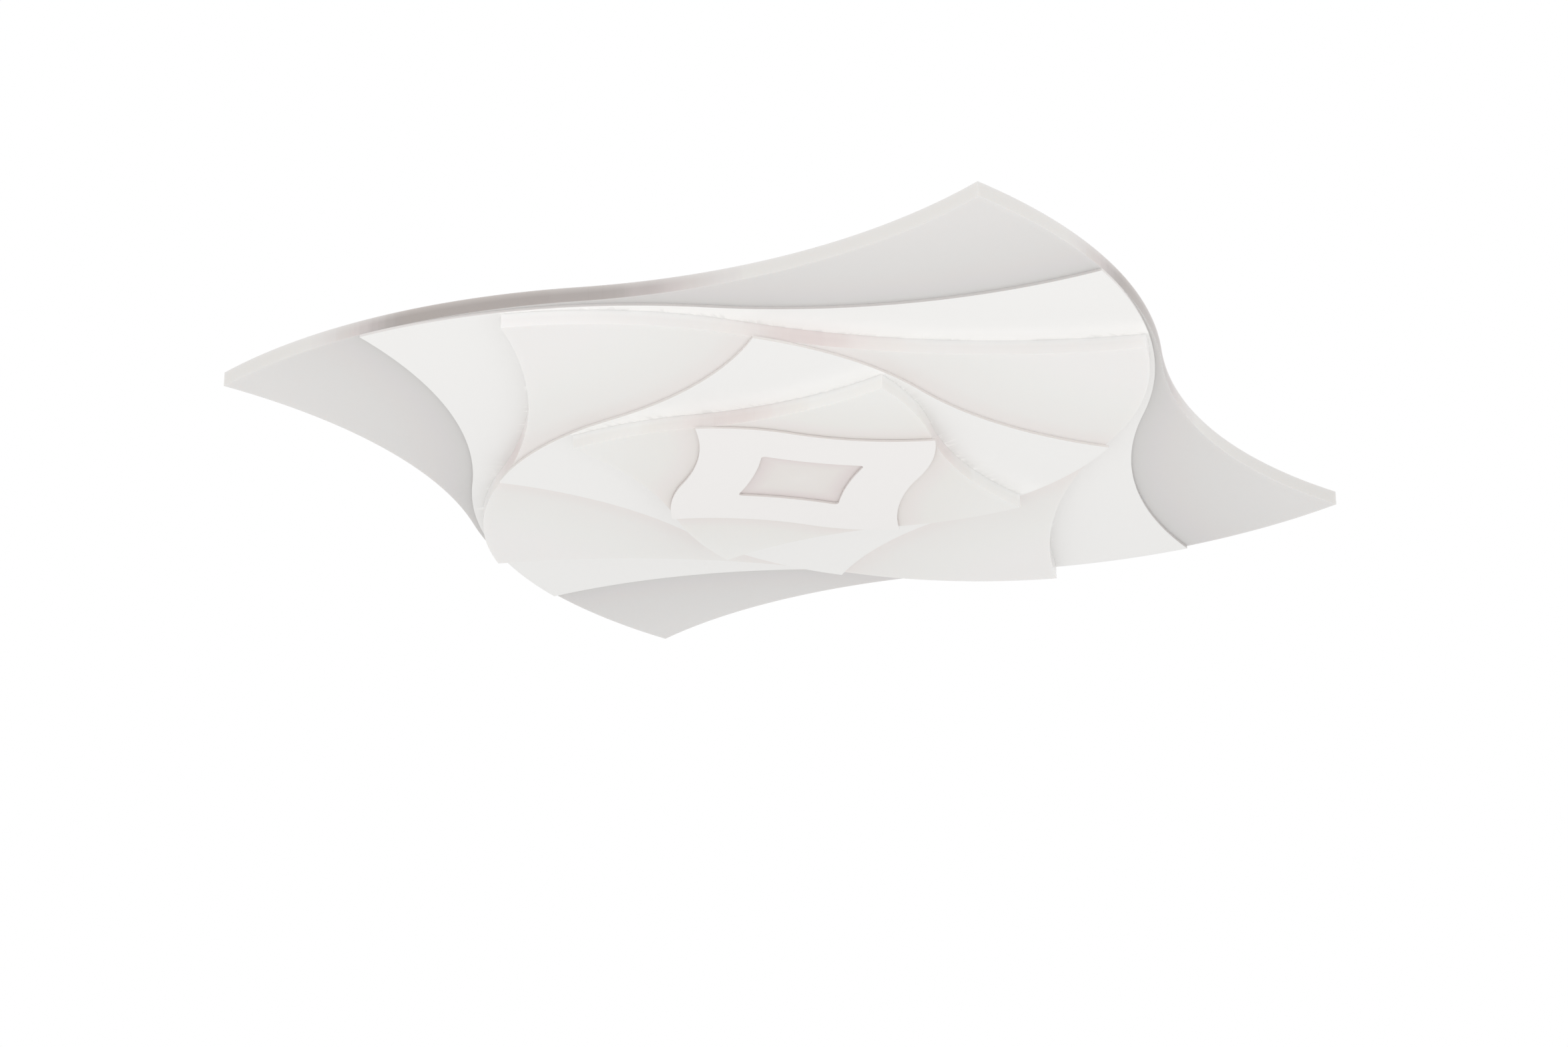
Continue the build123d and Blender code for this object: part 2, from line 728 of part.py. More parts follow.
with BuildPart() as clamp_strap_part:
    with BuildSketch(Plane.XY.offset(floor_top + clamp_height)):
        with Locations((block_x, clamp_y)):
            Rectangle(clamp_width, clamp_depth)
            with GridLocations(2 * clamp_screw_offset, 1, 2, 1):
                Circle(small_screw_radius + fit, mode=Mode.SUBTRACT)
    extrude(amount=clamp_strap)
    fillet(clamp_strap_part.faces().sort_by(Axis.Z)[-1].edges().filter_by(Axis.Y), clamp_strap / 3)
    with BuildSketch(groove_plane):
        Circle(cable_radius)
    extrude(amount=clamp_depth, both=True, mode=Mode.SUBTRACT)
finish(clamp_strap_part, "clamp_strap")

clamp_places = [(block_x + side * clamp_screw_offset, clamp_y) for side in (-1, 1)]
finish(pan_screws(clamp_places, floor_top + clamp_height + clamp_strap), "clamp_screws")

# Protective earth: stud in the pan's floor, ring lug and nut
with BuildPart() as earth_stud:
    with BuildSketch(Plane.XY.offset(pan_bottom)):
        with Locations((earth_x, earth_y)):
            Circle(earth_stud_radius)
    extrude(amount=earth_stud_height + pan_steel)
    chamfer(earth_stud.faces().sort_by(Axis.Z)[-1].edges(), stud_chamfer)
finish(earth_stud, "earth_stud")

with BuildPart() as earth_lug:
    with BuildSketch(Plane.XY.offset(floor_top)):
        with Locations((earth_x, earth_y)):
            Circle(lug_radius)
        with Locations((earth_x, earth_y + lug_tail / 2)):
            Rectangle(2 * wire_radius, lug_tail)
        with Locations((earth_x, earth_y)):
            Circle(earth_stud_radius + fit, mode=Mode.SUBTRACT)
    extrude(amount=lug_thickness)
finish(earth_lug, "earth_lug")

with BuildPart() as earth_nut:
    with BuildSketch(Plane.XY.offset(floor_top + lug_thickness)):
        with Locations((earth_x, earth_y)):
            RegularPolygon(earth_nut_flat / 2, 6, major_radius=False)
            Circle(earth_stud_radius + fit, mode=Mode.SUBTRACT)
    extrude(amount=earth_nut_height)
finish(earth_nut, "earth_nut")


def bend_radii(points):
    # each bend as large as the shorter of its two runs allows
    radii = []
    for before, corner, after in zip(points, points[1:], points[2:]):
        arriving = Vector(*corner) - Vector(*before)
        leaving = Vector(*after) - Vector(*corner)
        turn = radians(arriving.get_angle(leaving))
        radii.append(0.45 * min(arriving.length, leaving.length) / tan(turn / 2))
    return radii


def lead(points, radius, name, last_bends=()):
    radii = bend_radii(points)
    radii[len(radii) - len(last_bends):] = last_bends
    with BuildPart() as wire:
        with BuildLine():
            route = FilletPolyline(*points, radius=radii)
        with BuildSketch(Plane(origin=route @ 0, z_dir=route % 0)):
            Circle(radius)
        sweep(path=route)
    straight_volume = pi * radius**2 * route.length
    print(f"{name}: {route.length:.0f} mm, tightest bend {min(radii):.1f} mm,",
          f"volume over section times length {wire.part.volume / straight_volume:.3f}")
    finish(wire, name)


def shifted(origin, steps, side=0.0, level=0.0):
    # points at the given steps from an origin, side to side by a given amount
    return [(origin[0] + x + side, origin[1] + y, level) for x, y in steps]


# Wires from the terminal block to the driver, and the earth wire to its lug
wire_level = floor_top + wire_radius + lead_clearance
for pole, name in ((-1, "live_lead"), (0, "neutral_lead")):
    entry_x = block_x + pole * pole_pitch
    side = (pole + 0.5) * driver_exit_pitch
    lead([
        (entry_x, block_back - entry_depth / 2, entry_level),
        (entry_x, block_back + entry_run, entry_level),
        *shifted((entry_x, block_back), supply_route, side, wire_level),
        *shifted((-driver_half, block_back), supply_turn[:1], side, wire_level),
        *shifted((-driver_half, driver_y), supply_turn[1:3], side, wire_level),
        *shifted((-driver_half, driver_y - side), supply_turn[3:], 0, exit_level),
        (-driver_half + driver_wall / 2, driver_y - side, exit_level),
    ], wire_radius, name)

lug_level = floor_top + lug_thickness + wire_radius
earth_entry = (block_x + pole_pitch, block_back)
lead([
    (earth_entry[0], block_back - entry_depth / 2, entry_level),
    (earth_entry[0], block_back + entry_run, entry_level),
    *shifted(earth_entry, earth_route, 0, wire_level),
    *shifted((earth_x, earth_y), earth_turn[:2], 0, wire_level),
    *shifted((earth_x, earth_y), earth_turn[2:], 0, lug_level),
], wire_radius, "earth_lead")

# Leads from the driver, over the floor and down through the grommet to each dish
floor_run = floor_top + lead_radius + lead_clearance
for index, (name, radius, level, drop) in enumerate((
    ("large", large_dish_radius, pan_bottom, bore_drop),
    ("middle", middle_dish_radius, large_sheet_level, bore_drop),
    ("small", small_dish_radius, middle_sheet_level, pocket_drop),
)):
    place = index - 1
    spread = lead_spread * place
    exit_y = driver_y + driver_exit_pitch * place
    drop_point = polar(lead_offset, 120 * index + lead_direction)
    run_level = level - (drop + dish_sheet) / 2
    end_point = polar(radius - lead_end_gap, lead_direction, run_level)
    hump = floor_top + hump_height + hump_step * (index % 2)
    lead([
        (driver_half - driver_wall / 2, exit_y, exit_level),
        *shifted((driver_half, exit_y), led_route[:1], spread, exit_level),
        *shifted((driver_half, exit_y), led_route[1:2], spread, floor_run),
        *shifted((driver_half, driver_y - spread), led_route[2:3], spread, floor_run),
        *shifted((driver_half, driver_y - spread / 2), led_route[3:], spread, floor_run),
        (led_gather[0] + spread / 2, led_gather[1] - spread, floor_run),
        (drop_point.X + hump_run, lead_radius - hump_spread * place, hump),
        (drop_point.X, drop_point.Y, hump),
        (drop_point.X, drop_point.Y, run_level),
        (end_point.X, end_point.Y, run_level),
    ], lead_radius, f"{name}_led_lead", (hump_bend, drop_bend))
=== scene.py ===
import json
import math

import bmesh
import bpy
from mathutils import Matrix, Vector, kdtree

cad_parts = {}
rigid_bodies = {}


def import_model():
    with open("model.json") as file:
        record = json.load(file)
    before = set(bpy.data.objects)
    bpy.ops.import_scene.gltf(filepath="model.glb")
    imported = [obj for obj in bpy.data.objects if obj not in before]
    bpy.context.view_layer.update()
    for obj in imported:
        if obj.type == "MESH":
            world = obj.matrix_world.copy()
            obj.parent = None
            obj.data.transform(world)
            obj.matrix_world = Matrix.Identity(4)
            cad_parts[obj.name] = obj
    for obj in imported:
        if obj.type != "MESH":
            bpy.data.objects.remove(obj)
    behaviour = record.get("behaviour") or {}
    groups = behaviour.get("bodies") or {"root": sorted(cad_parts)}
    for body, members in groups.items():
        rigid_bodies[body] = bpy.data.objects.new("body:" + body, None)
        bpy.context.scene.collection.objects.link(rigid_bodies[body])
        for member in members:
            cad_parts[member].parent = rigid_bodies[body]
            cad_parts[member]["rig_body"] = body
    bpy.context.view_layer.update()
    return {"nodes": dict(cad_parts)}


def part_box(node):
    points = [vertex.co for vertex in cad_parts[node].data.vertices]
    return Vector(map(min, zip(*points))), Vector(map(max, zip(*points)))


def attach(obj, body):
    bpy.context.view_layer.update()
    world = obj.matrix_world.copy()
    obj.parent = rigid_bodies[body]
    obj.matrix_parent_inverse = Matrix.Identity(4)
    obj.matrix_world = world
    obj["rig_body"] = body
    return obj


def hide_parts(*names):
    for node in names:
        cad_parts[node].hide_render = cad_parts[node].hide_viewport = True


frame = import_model()
nodes = frame["nodes"]
print("frame loaded,", len(nodes), "nodes")

scene = bpy.context.scene
scene.view_settings.view_transform = "Standard"


# Camera: stands in front of the lamp and below it, and looks up at its underside
cameraSetup = {
    "place": (-0.01288, -2.7391, -1.2201),
    "tiltDegrees": 111.86,
    "lens": 87.48,
    "sensorWidth": 36.0,
    "farClip": 60.0,
}


def makeCamera(setup):
    data = bpy.data.cameras.new("photoCamera")
    data.lens = setup["lens"]
    data.sensor_width = setup["sensorWidth"]
    data.clip_end = setup["farClip"]
    camera = bpy.data.objects.new("photoCamera", data)
    camera.location = setup["place"]
    camera.rotation_euler = (math.radians(setup["tiltDegrees"]), 0, 0)
    scene.collection.objects.link(camera)
    scene.camera = camera


makeCamera(cameraSetup)
print("camera set")


# Material helpers: every finish starts from one Principled shader and adds its own patterns.
# The owner of a node tree is a material, or the world where the sky is made
noiseSpan = (0.3, 0.7)  # most of a noise lies between these
millimetre = 0.001


def paint(red, green, blue):
    # a colour as a picture shows it, 0 to 255, made linear by the sRGB curve
    shares = (channel / 255 for channel in (red, green, blue))
    return tuple(s / 12.92 if s <= 0.04045 else ((s + 0.055) / 1.055) ** 2.4 for s in shares)


def tinted(colour, tint):
    return tuple(channel * share for channel, share in zip(colour, tint))


def newMaterial(name, colour, **sockets):
    material = bpy.data.materials.new(name)
    material.use_nodes = True
    shader = material.node_tree.nodes["Principled BSDF"]
    shader.inputs["Base Color"].default_value = (*colour, 1)
    for socket, value in sockets.items():
        shader.inputs[socket].default_value = value
    return material, shader


def addNode(owner, kind, links=None, **values):
    node = owner.node_tree.nodes.new(kind)
    for name, value in values.items():
        if name in node.inputs:
            node.inputs[name].default_value = value
        else:
            setattr(node, name, value)
    for name, output in (links or {}).items():
        connect(owner, output, node.inputs[name])
    return node


def connect(owner, output, socket):
    owner.node_tree.links.new(output, socket)


def objectPlace(material):
    return addNode(material, "ShaderNodeTexCoord").outputs["Object"]


def stored(material, name):
    # a value that the mesh keeps: lean tells a face that looks up from a wall or an underside
    return addNode(material, "ShaderNodeAttribute", attribute_name=name).outputs["Fac"]


def stretched(material, place, scale):
    return addNode(material, "ShaderNodeMapping", {"Vector": place}, Scale=scale).outputs["Vector"]


def calculate(owner, operation, first, second):
    made = addNode(owner, "ShaderNodeMath", {0: first, 1: second}, operation=operation)
    return made.outputs["Value"]


def rescaled(owner, value, fromLow, fromHigh, toLow=0.0, toHigh=1.0):
    limits = {"From Min": fromLow, "From Max": fromHigh, "To Min": toLow, "To Max": toHigh}
    return addNode(owner, "ShaderNodeMapRange", {"Value": value}, **limits).outputs["Result"]


def ramp(material, factor, stops):
    # stops are (place from 0 to 1, linear colour)
    node = addNode(material, "ShaderNodeValToRGB", {"Fac": factor})
    elements = node.color_ramp.elements
    while len(elements) < len(stops):
        elements.new(0.5)
    for element, (place, colour) in zip(elements, stops):
        element.position = place
        element.color = (*colour, 1)
    return node.outputs["Color"]


def mixed(material, factor, first, second, blend="MIX"):
    # the Mix node's colours are its inputs 6 and 7 and its output 2
    node = addNode(material, "ShaderNodeMix", data_type="RGBA", blend_type=blend)
    if isinstance(factor, (int, float)):
        node.inputs["Factor"].default_value = factor
    else:
        connect(material, factor, node.inputs["Factor"])
    for socket, source in ((node.inputs[6], first), (node.inputs[7], second)):
        if isinstance(source, tuple):
            socket.default_value = (*source, 1)
        else:
            connect(material, source, socket)
    return node.outputs[2]


def noise(material, place, scale, detail=3.0):
    made = addNode(material, "ShaderNodeTexNoise", {"Vector": place}, Scale=scale, Detail=detail)
    return made.outputs["Fac"]


def clouded(material, colour, pattern, depth, span=noiseSpan):
    # darkens a colour by up to depth where the pattern is low
    low, high = span
    veil = ramp(material, pattern, [(low, (1 - depth,) * 3), (high, (1.0,) * 3)])
    return mixed(material, 1.0, colour, veil, "MULTIPLY")


def dress(material, shader, look, colour, sheen, relief=None):
    # every finish ends with its colour, a roughness that follows a pattern, and its relief
    low, high = look["roughness"]
    shader.inputs["Roughness"].default_value = (low + high) / 2
    connect(material, colour, shader.inputs["Base Color"])
    connect(material, rescaled(material, sheen, *noiseSpan, low, high), shader.inputs["Roughness"])
    if relief is not None:
        bump = addNode(material, "ShaderNodeBump", {"Height": relief},
                       Distance=look["depth"], Strength=1.0)
        connect(material, bump.outputs["Normal"], shader.inputs["Normal"])
    return material


# Opal acrylic, with painted shade and painted light in the slabs' colours. A thick slab is
# painted darker close to the sheet below it, where in the real slab light leaves deep inside
# under that sheet. Faces: (distance to the sheet in mm, colour), painted shade. Walls: (share of
# the slab nearby that the sheet covers, colour), painted darker the more is covered. Their upper
# rims: (the same share, colour), painted light over the dark line where the wall meets the sheet
# above. The large slab is painted greyer all over: painted shade for the less light it holds
opalFinish = {
    "clouds": 3.0,
    "cloudDepth": 0.004,
    "roughness": (0.275, 0.285),
    "satin": 150.0,
    "sawScale": (520.0, 520.0, 14.0),
    "depth": 0.00001,
    "softness": 0.20,
    "softDepth": (0.0075, 0.0066, 0.0060),  # how far red, green and blue light goes, in metres
    "specular": 0.30,
    "reachSpan": (-40.0, 120.0),
    "coverSpan": (0.0, 0.5),
    "wallSpan": (0.25, 0.75),
    "rimSpan": (0.55, 1.0),
    "backSpan": (0.5, 0.9),
    # painted light: the near side brighter and the far side darker by these shares
    "paintedNearLight": (1.056, 0.944),  # share of light on the near side and on the far side
    "paintedNearReach": 0.45,
    # painted glow: the colour a sheet is painted up to beside the slab's near walls
    "glow": paint(251, 250, 248),
}
largeTierPaintedShade = {
    "face": [(2, (202, 200, 198)), (7, (205, 203, 201)), (17, (208, 205, 204)),
             (32, (211, 208, 206)), (52, (213, 211, 209)), (115, (218, 216, 214))],
    "wall": [(0.0, (214, 212, 209)), (0.05, (211, 208, 206)), (0.12, (206, 202, 200)),
             (0.17, (202, 197, 194)), (0.22, (198, 191, 189)), (0.27, (191, 184, 182)),
             (0.32, (182, 175, 173)), (0.37, (173, 167, 164)), (0.43, (166, 159, 156)),
             (0.48, (166, 159, 155))],
    "rim": [(0.0, (213, 211, 209)), (0.17, (206, 203, 201)), (0.27, (200, 196, 194)),
            (0.35, (196, 192, 190)), (0.43, (187, 182, 179)), (0.48, (184, 178, 175))],
    "back": (222, 220, 218),
}
middleTierPaintedShade = {
    "face": [(3, (228, 223, 220)), (11, (227, 223, 220)), (24, (228, 226, 223)),
             (67, (230, 229, 226)), (110, (232, 230, 228))],
    "wall": [(0.0, (233, 231, 229.5)), (0.05, (233.5, 231.5, 229.5)), (0.12, (234, 230.5, 228)),
             (0.22, (233, 228.5, 226)), (0.27, (233, 227, 225)), (0.32, (229, 222, 220)),
             (0.37, (227, 218, 216)), (0.43, (224, 214, 212))],
    "rim": [(0.0, (241, 240, 238.5)), (0.12, (240, 237, 235)), (0.27, (238, 231, 229)),
            (0.43, (232, 222, 220))],
    "back": (230, 229, 227),
}
smallTierPaintedShade = {
    "face": [(-34, (225, 221, 217)), (-15, (223, 218, 214)), (-5, (219, 210, 208)),
             (-0.5, (217, 208, 205)), (0.5, (222, 216, 212)), (3, (224, 219, 215)),
             (11, (226, 221, 218)), (24, (227, 225, 221)), (76, (230, 229, 226))],
    "wall": [(0.0, (236.5, 235.5, 233)), (0.07, (234, 231.5, 228)), (0.17, (232.5, 229, 226.5)),
             (0.22, (232.5, 227, 224.5)), (0.27, (230, 223.5, 221)), (0.32, (226, 218, 215.5)),
             (0.37, (226, 218, 216))],
    "rim": [(0.0, (244, 243, 241)), (0.17, (240, 236.5, 234)), (0.27, (237.5, 231.5, 229)),
            (0.37, (234, 226, 224))],
    "back": (230, 229, 227),
}
# sheets: face is the plain colour of the opal, edge is painted shade on the sheet's wall
sheetColoursAndPaintedShade = {
    "large": {"face": (235, 234, 232), "edge": (214, 210, 208)},
    "middle": {"face": (234.5, 233.5, 231.5), "edge": (230, 226, 223)},
    "window": {"face": (235, 232.5, 230.5), "edge": (225, 220, 217)},
}


def paintedShadeRamp(material, name, stops, span, unit=1.0):
    # painted shade and painted light for a value that the mesh keeps, span and stops in units
    low, high = span
    value = rescaled(material, stored(material, name), low * unit, high * unit)
    placed = [((place - low) / (high - low), paint(*colour)) for place, colour in stops]
    return ramp(material, value, placed)


def wallShare(material, lean):
    level = addNode(material, "ShaderNodeMath", {0: lean}, operation="ABSOLUTE").outputs["Value"]
    return rescaled(material, level, *opalFinish["wallSpan"], 1.0, 0.0)


def makeOpalSlab(name, paintedShade):
    soft = {"Subsurface Weight": opalFinish["softness"],
            "Subsurface Radius": opalFinish["softDepth"], "Subsurface Scale": 1.0}
    farthestColour = paintedShade["face"][-1][1]
    material, shader = newMaterial(name, paint(*farthestColour), **soft)
    place = objectPlace(material)
    lean = stored(material, "lean")
    wall = wallShare(material, lean)
    # painted shade on faces and walls, and painted light on the walls' upper rims
    face = paintedShadeRamp(material, "reach", paintedShade["face"], opalFinish["reachSpan"], millimetre)
    side = paintedShadeRamp(material, "cover", paintedShade["wall"], opalFinish["coverSpan"])
    rim = paintedShadeRamp(material, "cover", paintedShade["rim"], opalFinish["coverSpan"])
    rise = rescaled(material, stored(material, "rise"), *opalFinish["rimSpan"])
    seen = mixed(material, wall, face, mixed(material, rise, side, rim))
    back = rescaled(material, lean, *opalFinish["backSpan"])
    colour = mixed(material, back, seen, paint(*paintedShade["back"]))
    saw = noise(material, stretched(material, place, opalFinish["sawScale"]), 1.0, detail=4.0)
    sawnWall = calculate(material, "MULTIPLY", saw, wall)
    return finishOpal(material, shader, place, colour, sawnWall)


def makeOpalSheet(name, paintedShade):
    # painted glow: a sheet is painted brighter beside the near walls of the slab below it, and
    # its edge is painted darker
    face = paint(*paintedShade["face"])
    material, shader = newMaterial(name, face)
    flat = mixed(material, stored(material, "glow"), face, opalFinish["glow"])
    wall = wallShare(material, stored(material, "lean"))
    colour = mixed(material, wall, flat, paint(*paintedShade["edge"]))
    return finishOpal(material, shader, objectPlace(material), colour)


def finishOpal(material, shader, place, colour, relief=None):
    # faint clouds in the cast, painted light that makes the near side a little brighter and the
    # far side a little darker, and a fine satin grain
    cloud = noise(material, place, opalFinish["clouds"], detail=1.0)
    cast = clouded(material, colour, cloud, opalFinish["cloudDepth"])
    along = addNode(material, "ShaderNodeSeparateXYZ", {"Vector": place}).outputs["Y"]
    reach = opalFinish["paintedNearReach"]
    light = rescaled(material, along, -reach, reach, *opalFinish["paintedNearLight"])
    lit = addNode(material, "ShaderNodeVectorMath", {0: cast, "Scale": light}, operation="SCALE")
    shader.inputs["Specular IOR Level"].default_value = opalFinish["specular"]
    satin = noise(material, place, opalFinish["satin"], detail=1.0)
    return dress(material, shader, opalFinish, lit.outputs[0], satin, relief)


# three copies of one opal acrylic, each with its own painted shade; the large one painted greyer
opalSlabs = {
    "large": makeOpalSlab("opalSlabLarge", largeTierPaintedShade),
    "middle": makeOpalSlab("opalSlabMiddle", middleTierPaintedShade),
    "small": makeOpalSlab("opalSlabSmall", smallTierPaintedShade),
}
opalSheets = {name: makeOpalSheet("opalSheet" + name.title(), paintedShade)
              for name, paintedShade in sheetColoursAndPaintedShade.items()}
print("opal finishes made")


# How every piece is finished: which edges are rounded, and how CAD forms are joined up again
pieceFinish = {
    "edgeAngle": 35.0,
    "flatWeight": 80,
    "joinWithin": 0.000002,
    "flatAngle": 0.5,
}


def camelName(node):
    first, *rest = node.split("_")
    return first + "".join(word.title() for word in rest)


def objectFrom(mesh, name):
    data = bpy.data.meshes.new(name)
    mesh.to_mesh(data)
    mesh.free()
    made = bpy.data.objects.new(name, data)
    scene.collection.objects.link(made)
    return made


def storeLean(mesh, items):
    # how far each face, or each vertex of a round piece, looks up: 1 is level, 0 a wall, -1 below
    mesh.normal_update()
    kept = items.layers.float.new("lean")
    for item in items:
        item[kept] = item.normal.z


def finishPiece(mesh, node, material, edge=0.0, edgeSteps=3, rounded=False):
    # the finished mesh takes the place of its CAD node, on the same body
    bmesh.ops.recalc_face_normals(mesh, faces=mesh.faces[:])
    storeLean(mesh, mesh.verts if rounded else mesh.faces)
    for face in mesh.faces:
        face.smooth = True
    piece = objectFrom(mesh, camelName(node))
    piece.data.materials.append(material)
    if edge:
        rounding = piece.modifiers.new("roundEdges", "BEVEL")
        rounding.width = edge
        rounding.segments = edgeSteps
        rounding.limit_method = "ANGLE"
        rounding.angle_limit = math.radians(pieceFinish["edgeAngle"])
    weighting = piece.modifiers.new("flatFaces", "WEIGHTED_NORMAL")
    weighting.keep_sharp = True
    weighting.weight = pieceFinish["flatWeight"]
    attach(piece, nodes[node]["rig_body"])
    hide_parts(node)
    return piece


# Layers: wave-edged squares, from the largest at the top to the smallest at the bottom
layerShape = {
    "waveSteps": 40,
    "boreSteps": 128,
    "screwSteps": 20,
    "windowSteps": 20,
    "compareSteps": 180,
    "screwHole": 0.00215,
    "paintedLightCell": 0.011,
    "fineBand": 0.012,  # finer cells this close to the outline below
    "fineCuts": 2,
    "coverReach": 0.045,  # how far round a point the covered share is counted
    "coverRings": (0.25, 0.5, 0.75, 1.0),
    "coverSteps": 24,
    "paintedGlowFacing": (0.3, 0.8),  # how squarely a point faces the wall, for no glow and all of it
}
# painted glow: how much brighter a sheet is painted beside a wall: (distance in metres, share)
paintedGlowFall = [(0.0, 1.0), (0.003, 0.78), (0.008, 0.52), (0.016, 0.42), (0.026, 0.12), (0.04, 0.0)]
squareSides = 4
quarterTurn = 360 / squareSides
joinWithin = 0.000001  # points closer than this are one
cornerWithin = 0.00001
largeTier = {
    "node": "large_tier", "radius": 0.450, "turn": 15.2,
    "crossing": 0.49, "dip": 0.0063, "slope": 21.0, "edge": 0.0006,
    "bore": 0.170, "screws": [(0.188, 8, 22.5)],
    "finish": opalSlabs["large"], "slot": "opal_slab",
}
largeSheet = {
    "node": "large_sheet", "radius": 0.385, "turn": 33.1,
    "crossing": 0.475, "dip": 0.0022, "slope": 18.8, "edge": 0.0003,
    "bore": 0.0065, "screws": [(0.056, 4, 13.8), (0.138, 6, 30.0)],
    "finish": opalSheets["large"], "slot": "opal_sheet",
}
middleTier = {
    "node": "middle_tier", "radius": 0.331, "turn": 49.2,
    "crossing": 0.37, "dip": 0.0, "slope": 16.5, "edge": 0.0006,
    "bore": 0.118, "screws": [(0.138, 6, 30.0)],
    "finish": opalSlabs["middle"], "slot": "opal_slab",
}
middleSheet = {
    "node": "middle_sheet", "radius": 0.240, "turn": 81.5,
    "crossing": 0.457, "dip": 0.0012, "slope": 17.9, "edge": 0.0003,
    "bore": 0.0065, "screws": [(0.056, 4, 13.8)],
    "finish": opalSheets["middle"], "slot": "opal_sheet",
}
smallTier = {
    "node": "small_tier", "radius": 0.184, "turn": 18.8,
    "crossing": 0.38, "dip": 0.0049, "slope": 13.7, "edge": 0.0006,
    "screws": [(0.056, 4, 13.8)],
    "finish": opalSlabs["small"], "slot": "opal_slab",
}
windowSheet = {
    "node": "window_sheet", "radius": 0.1295, "turn": 51.9,
    "crossing": 0.404, "dip": 0.0012, "slope": 15.0, "edge": 0.0003,
    "window": {"radius": 0.0577, "turn": 58.8, "hollow": 0.0031,
               "corner": 0.0050, "cornerSteps": 6},
    "finish": opalSheets["window"], "slot": "opal_sheet",
}
layers = [largeTier, largeSheet, middleTier, middleSheet, smallTier, windowSheet]
for layer in layers:  # levels and thicknesses come from the frame
    lowCorner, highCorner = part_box(layer["node"])
    layer["low"] = lowCorner[2]
    layer["thick"] = highCorner[2] - lowCorner[2]


def onCircle(radius, degrees, height=0.0):
    angle = math.radians(degrees)
    return Vector((radius * math.cos(angle), radius * math.sin(angle), height))


def vertsOf(items):
    return [item for item in items if isinstance(item, bmesh.types.BMVert)]


def edgesOf(verts):
    return list({edge for vertex in verts for edge in vertex.link_edges})


def raiseFaces(mesh, faces, height):
    # extrudes faces straight up, and gives the vertices of their new place
    raised = vertsOf(bmesh.ops.extrude_face_region(mesh, geom=faces)["geom"])
    bmesh.ops.translate(mesh, verts=raised, vec=(0, 0, height))
    return raised


def spinVertex(mesh, vertex, centre, angle, steps):
    spun = bmesh.ops.spin(mesh, geom=[vertex], cent=centre, axis=(0, 0, 1), angle=angle,
                          steps=steps)
    return vertsOf(spun["geom_last"])[0]


def arcFrom(middle, end, heading):
    # centre and swept angle of the arc that leaves middle along heading and reaches end
    chord = end - middle
    across = Vector((-heading.y, heading.x, 0))
    centre = middle + across * (chord.length_squared / (2 * across.dot(chord)))
    turned = 2 * math.atan2(heading.x * chord.y - heading.y * chord.x, heading.dot(chord))
    return centre, turned


def waveOutline(mesh, layer, steps):
    # four sides, each a bulge and then a hollow that meet without a kink
    corners = [onCircle(layer["radius"], layer["turn"] + quarterTurn * corner, layer["low"])
               for corner in range(squareSides + 1)]
    current = mesh.verts.new(corners[0])
    for start, end in zip(corners, corners[1:]):
        side = end - start
        inward = Vector((-(start.x + end.x), -(start.y + end.y), 0)).normalized()
        middle = start + side * layer["crossing"] + inward * layer["dip"]
        heading = (Matrix.Rotation(math.radians(layer["slope"]), 3, "Z") @ side).normalized()
        centre, turned = arcFrom(middle, start, -heading)
        current = spinVertex(mesh, current, centre, -turned, steps)
        centre, turned = arcFrom(middle, end, heading)
        current = spinVertex(mesh, current, centre, turned, steps)
    bmesh.ops.remove_doubles(mesh, verts=mesh.verts[:], dist=joinWithin)
    return mesh.edges[:]


def roundHole(mesh, radius, centre, steps):
    ring = bmesh.ops.create_circle(mesh, radius=radius, segments=steps,
                                   matrix=Matrix.Translation(centre))
    return edgesOf(ring["verts"])


def windowHole(mesh, window, low, steps):
    # a square with hollow sides and rounded corners
    current = mesh.verts.new(onCircle(window["radius"], window["turn"], low))
    made = [current]
    half = window["radius"] / math.sqrt(2)
    bend = (half ** 2 + window["hollow"] ** 2) / (2 * window["hollow"])
    sweep = 2 * math.asin(half / bend)
    for corner in range(squareSides):
        outward = onCircle(1, window["turn"] + quarterTurn * (corner + 0.5))
        centre = outward * (half - window["hollow"] + bend) + Vector((0, 0, low))
        before = set(mesh.verts)
        current = spinVertex(mesh, current, centre, -sweep, steps)
        made += [vertex for vertex in mesh.verts if vertex not in before]
    bmesh.ops.remove_doubles(mesh, verts=made, dist=joinWithin)
    made = [vertex for vertex in made if vertex.is_valid]
    face = bmesh.ops.contextual_create(mesh, geom=edgesOf(made))["faces"][0]
    corners = [v for v in face.verts if abs(v.co.xy.length - window["radius"]) < cornerWithin]
    bmesh.ops.bevel(mesh, geom=corners, offset=window["corner"], segments=window["cornerSteps"],
                    profile=0.5, affect="VERTICES", material=-1)
    face = max(mesh.faces, key=lambda item: item.calc_area())
    edges = list(face.edges)
    bmesh.ops.delete(mesh, geom=[face], context="FACES_ONLY")
    return edges


def outlineTree(drawOutline):
    # the points of an outline, to measure distances from
    drawn = bmesh.new()
    drawOutline(drawn)
    tree = kdtree.KDTree(len(drawn.verts))
    for index, vertex in enumerate(drawn.verts):
        tree.insert((vertex.co.x, vertex.co.y, 0), index)
    tree.balance()
    drawn.free()
    return tree


def signedReach(tree, place):
    # how far a point lies outside an outline, or inside it where negative
    flat = Vector((place.x, place.y, 0))
    nearest, _, distance = tree.find(flat)
    return distance if flat.length > nearest.length else -distance


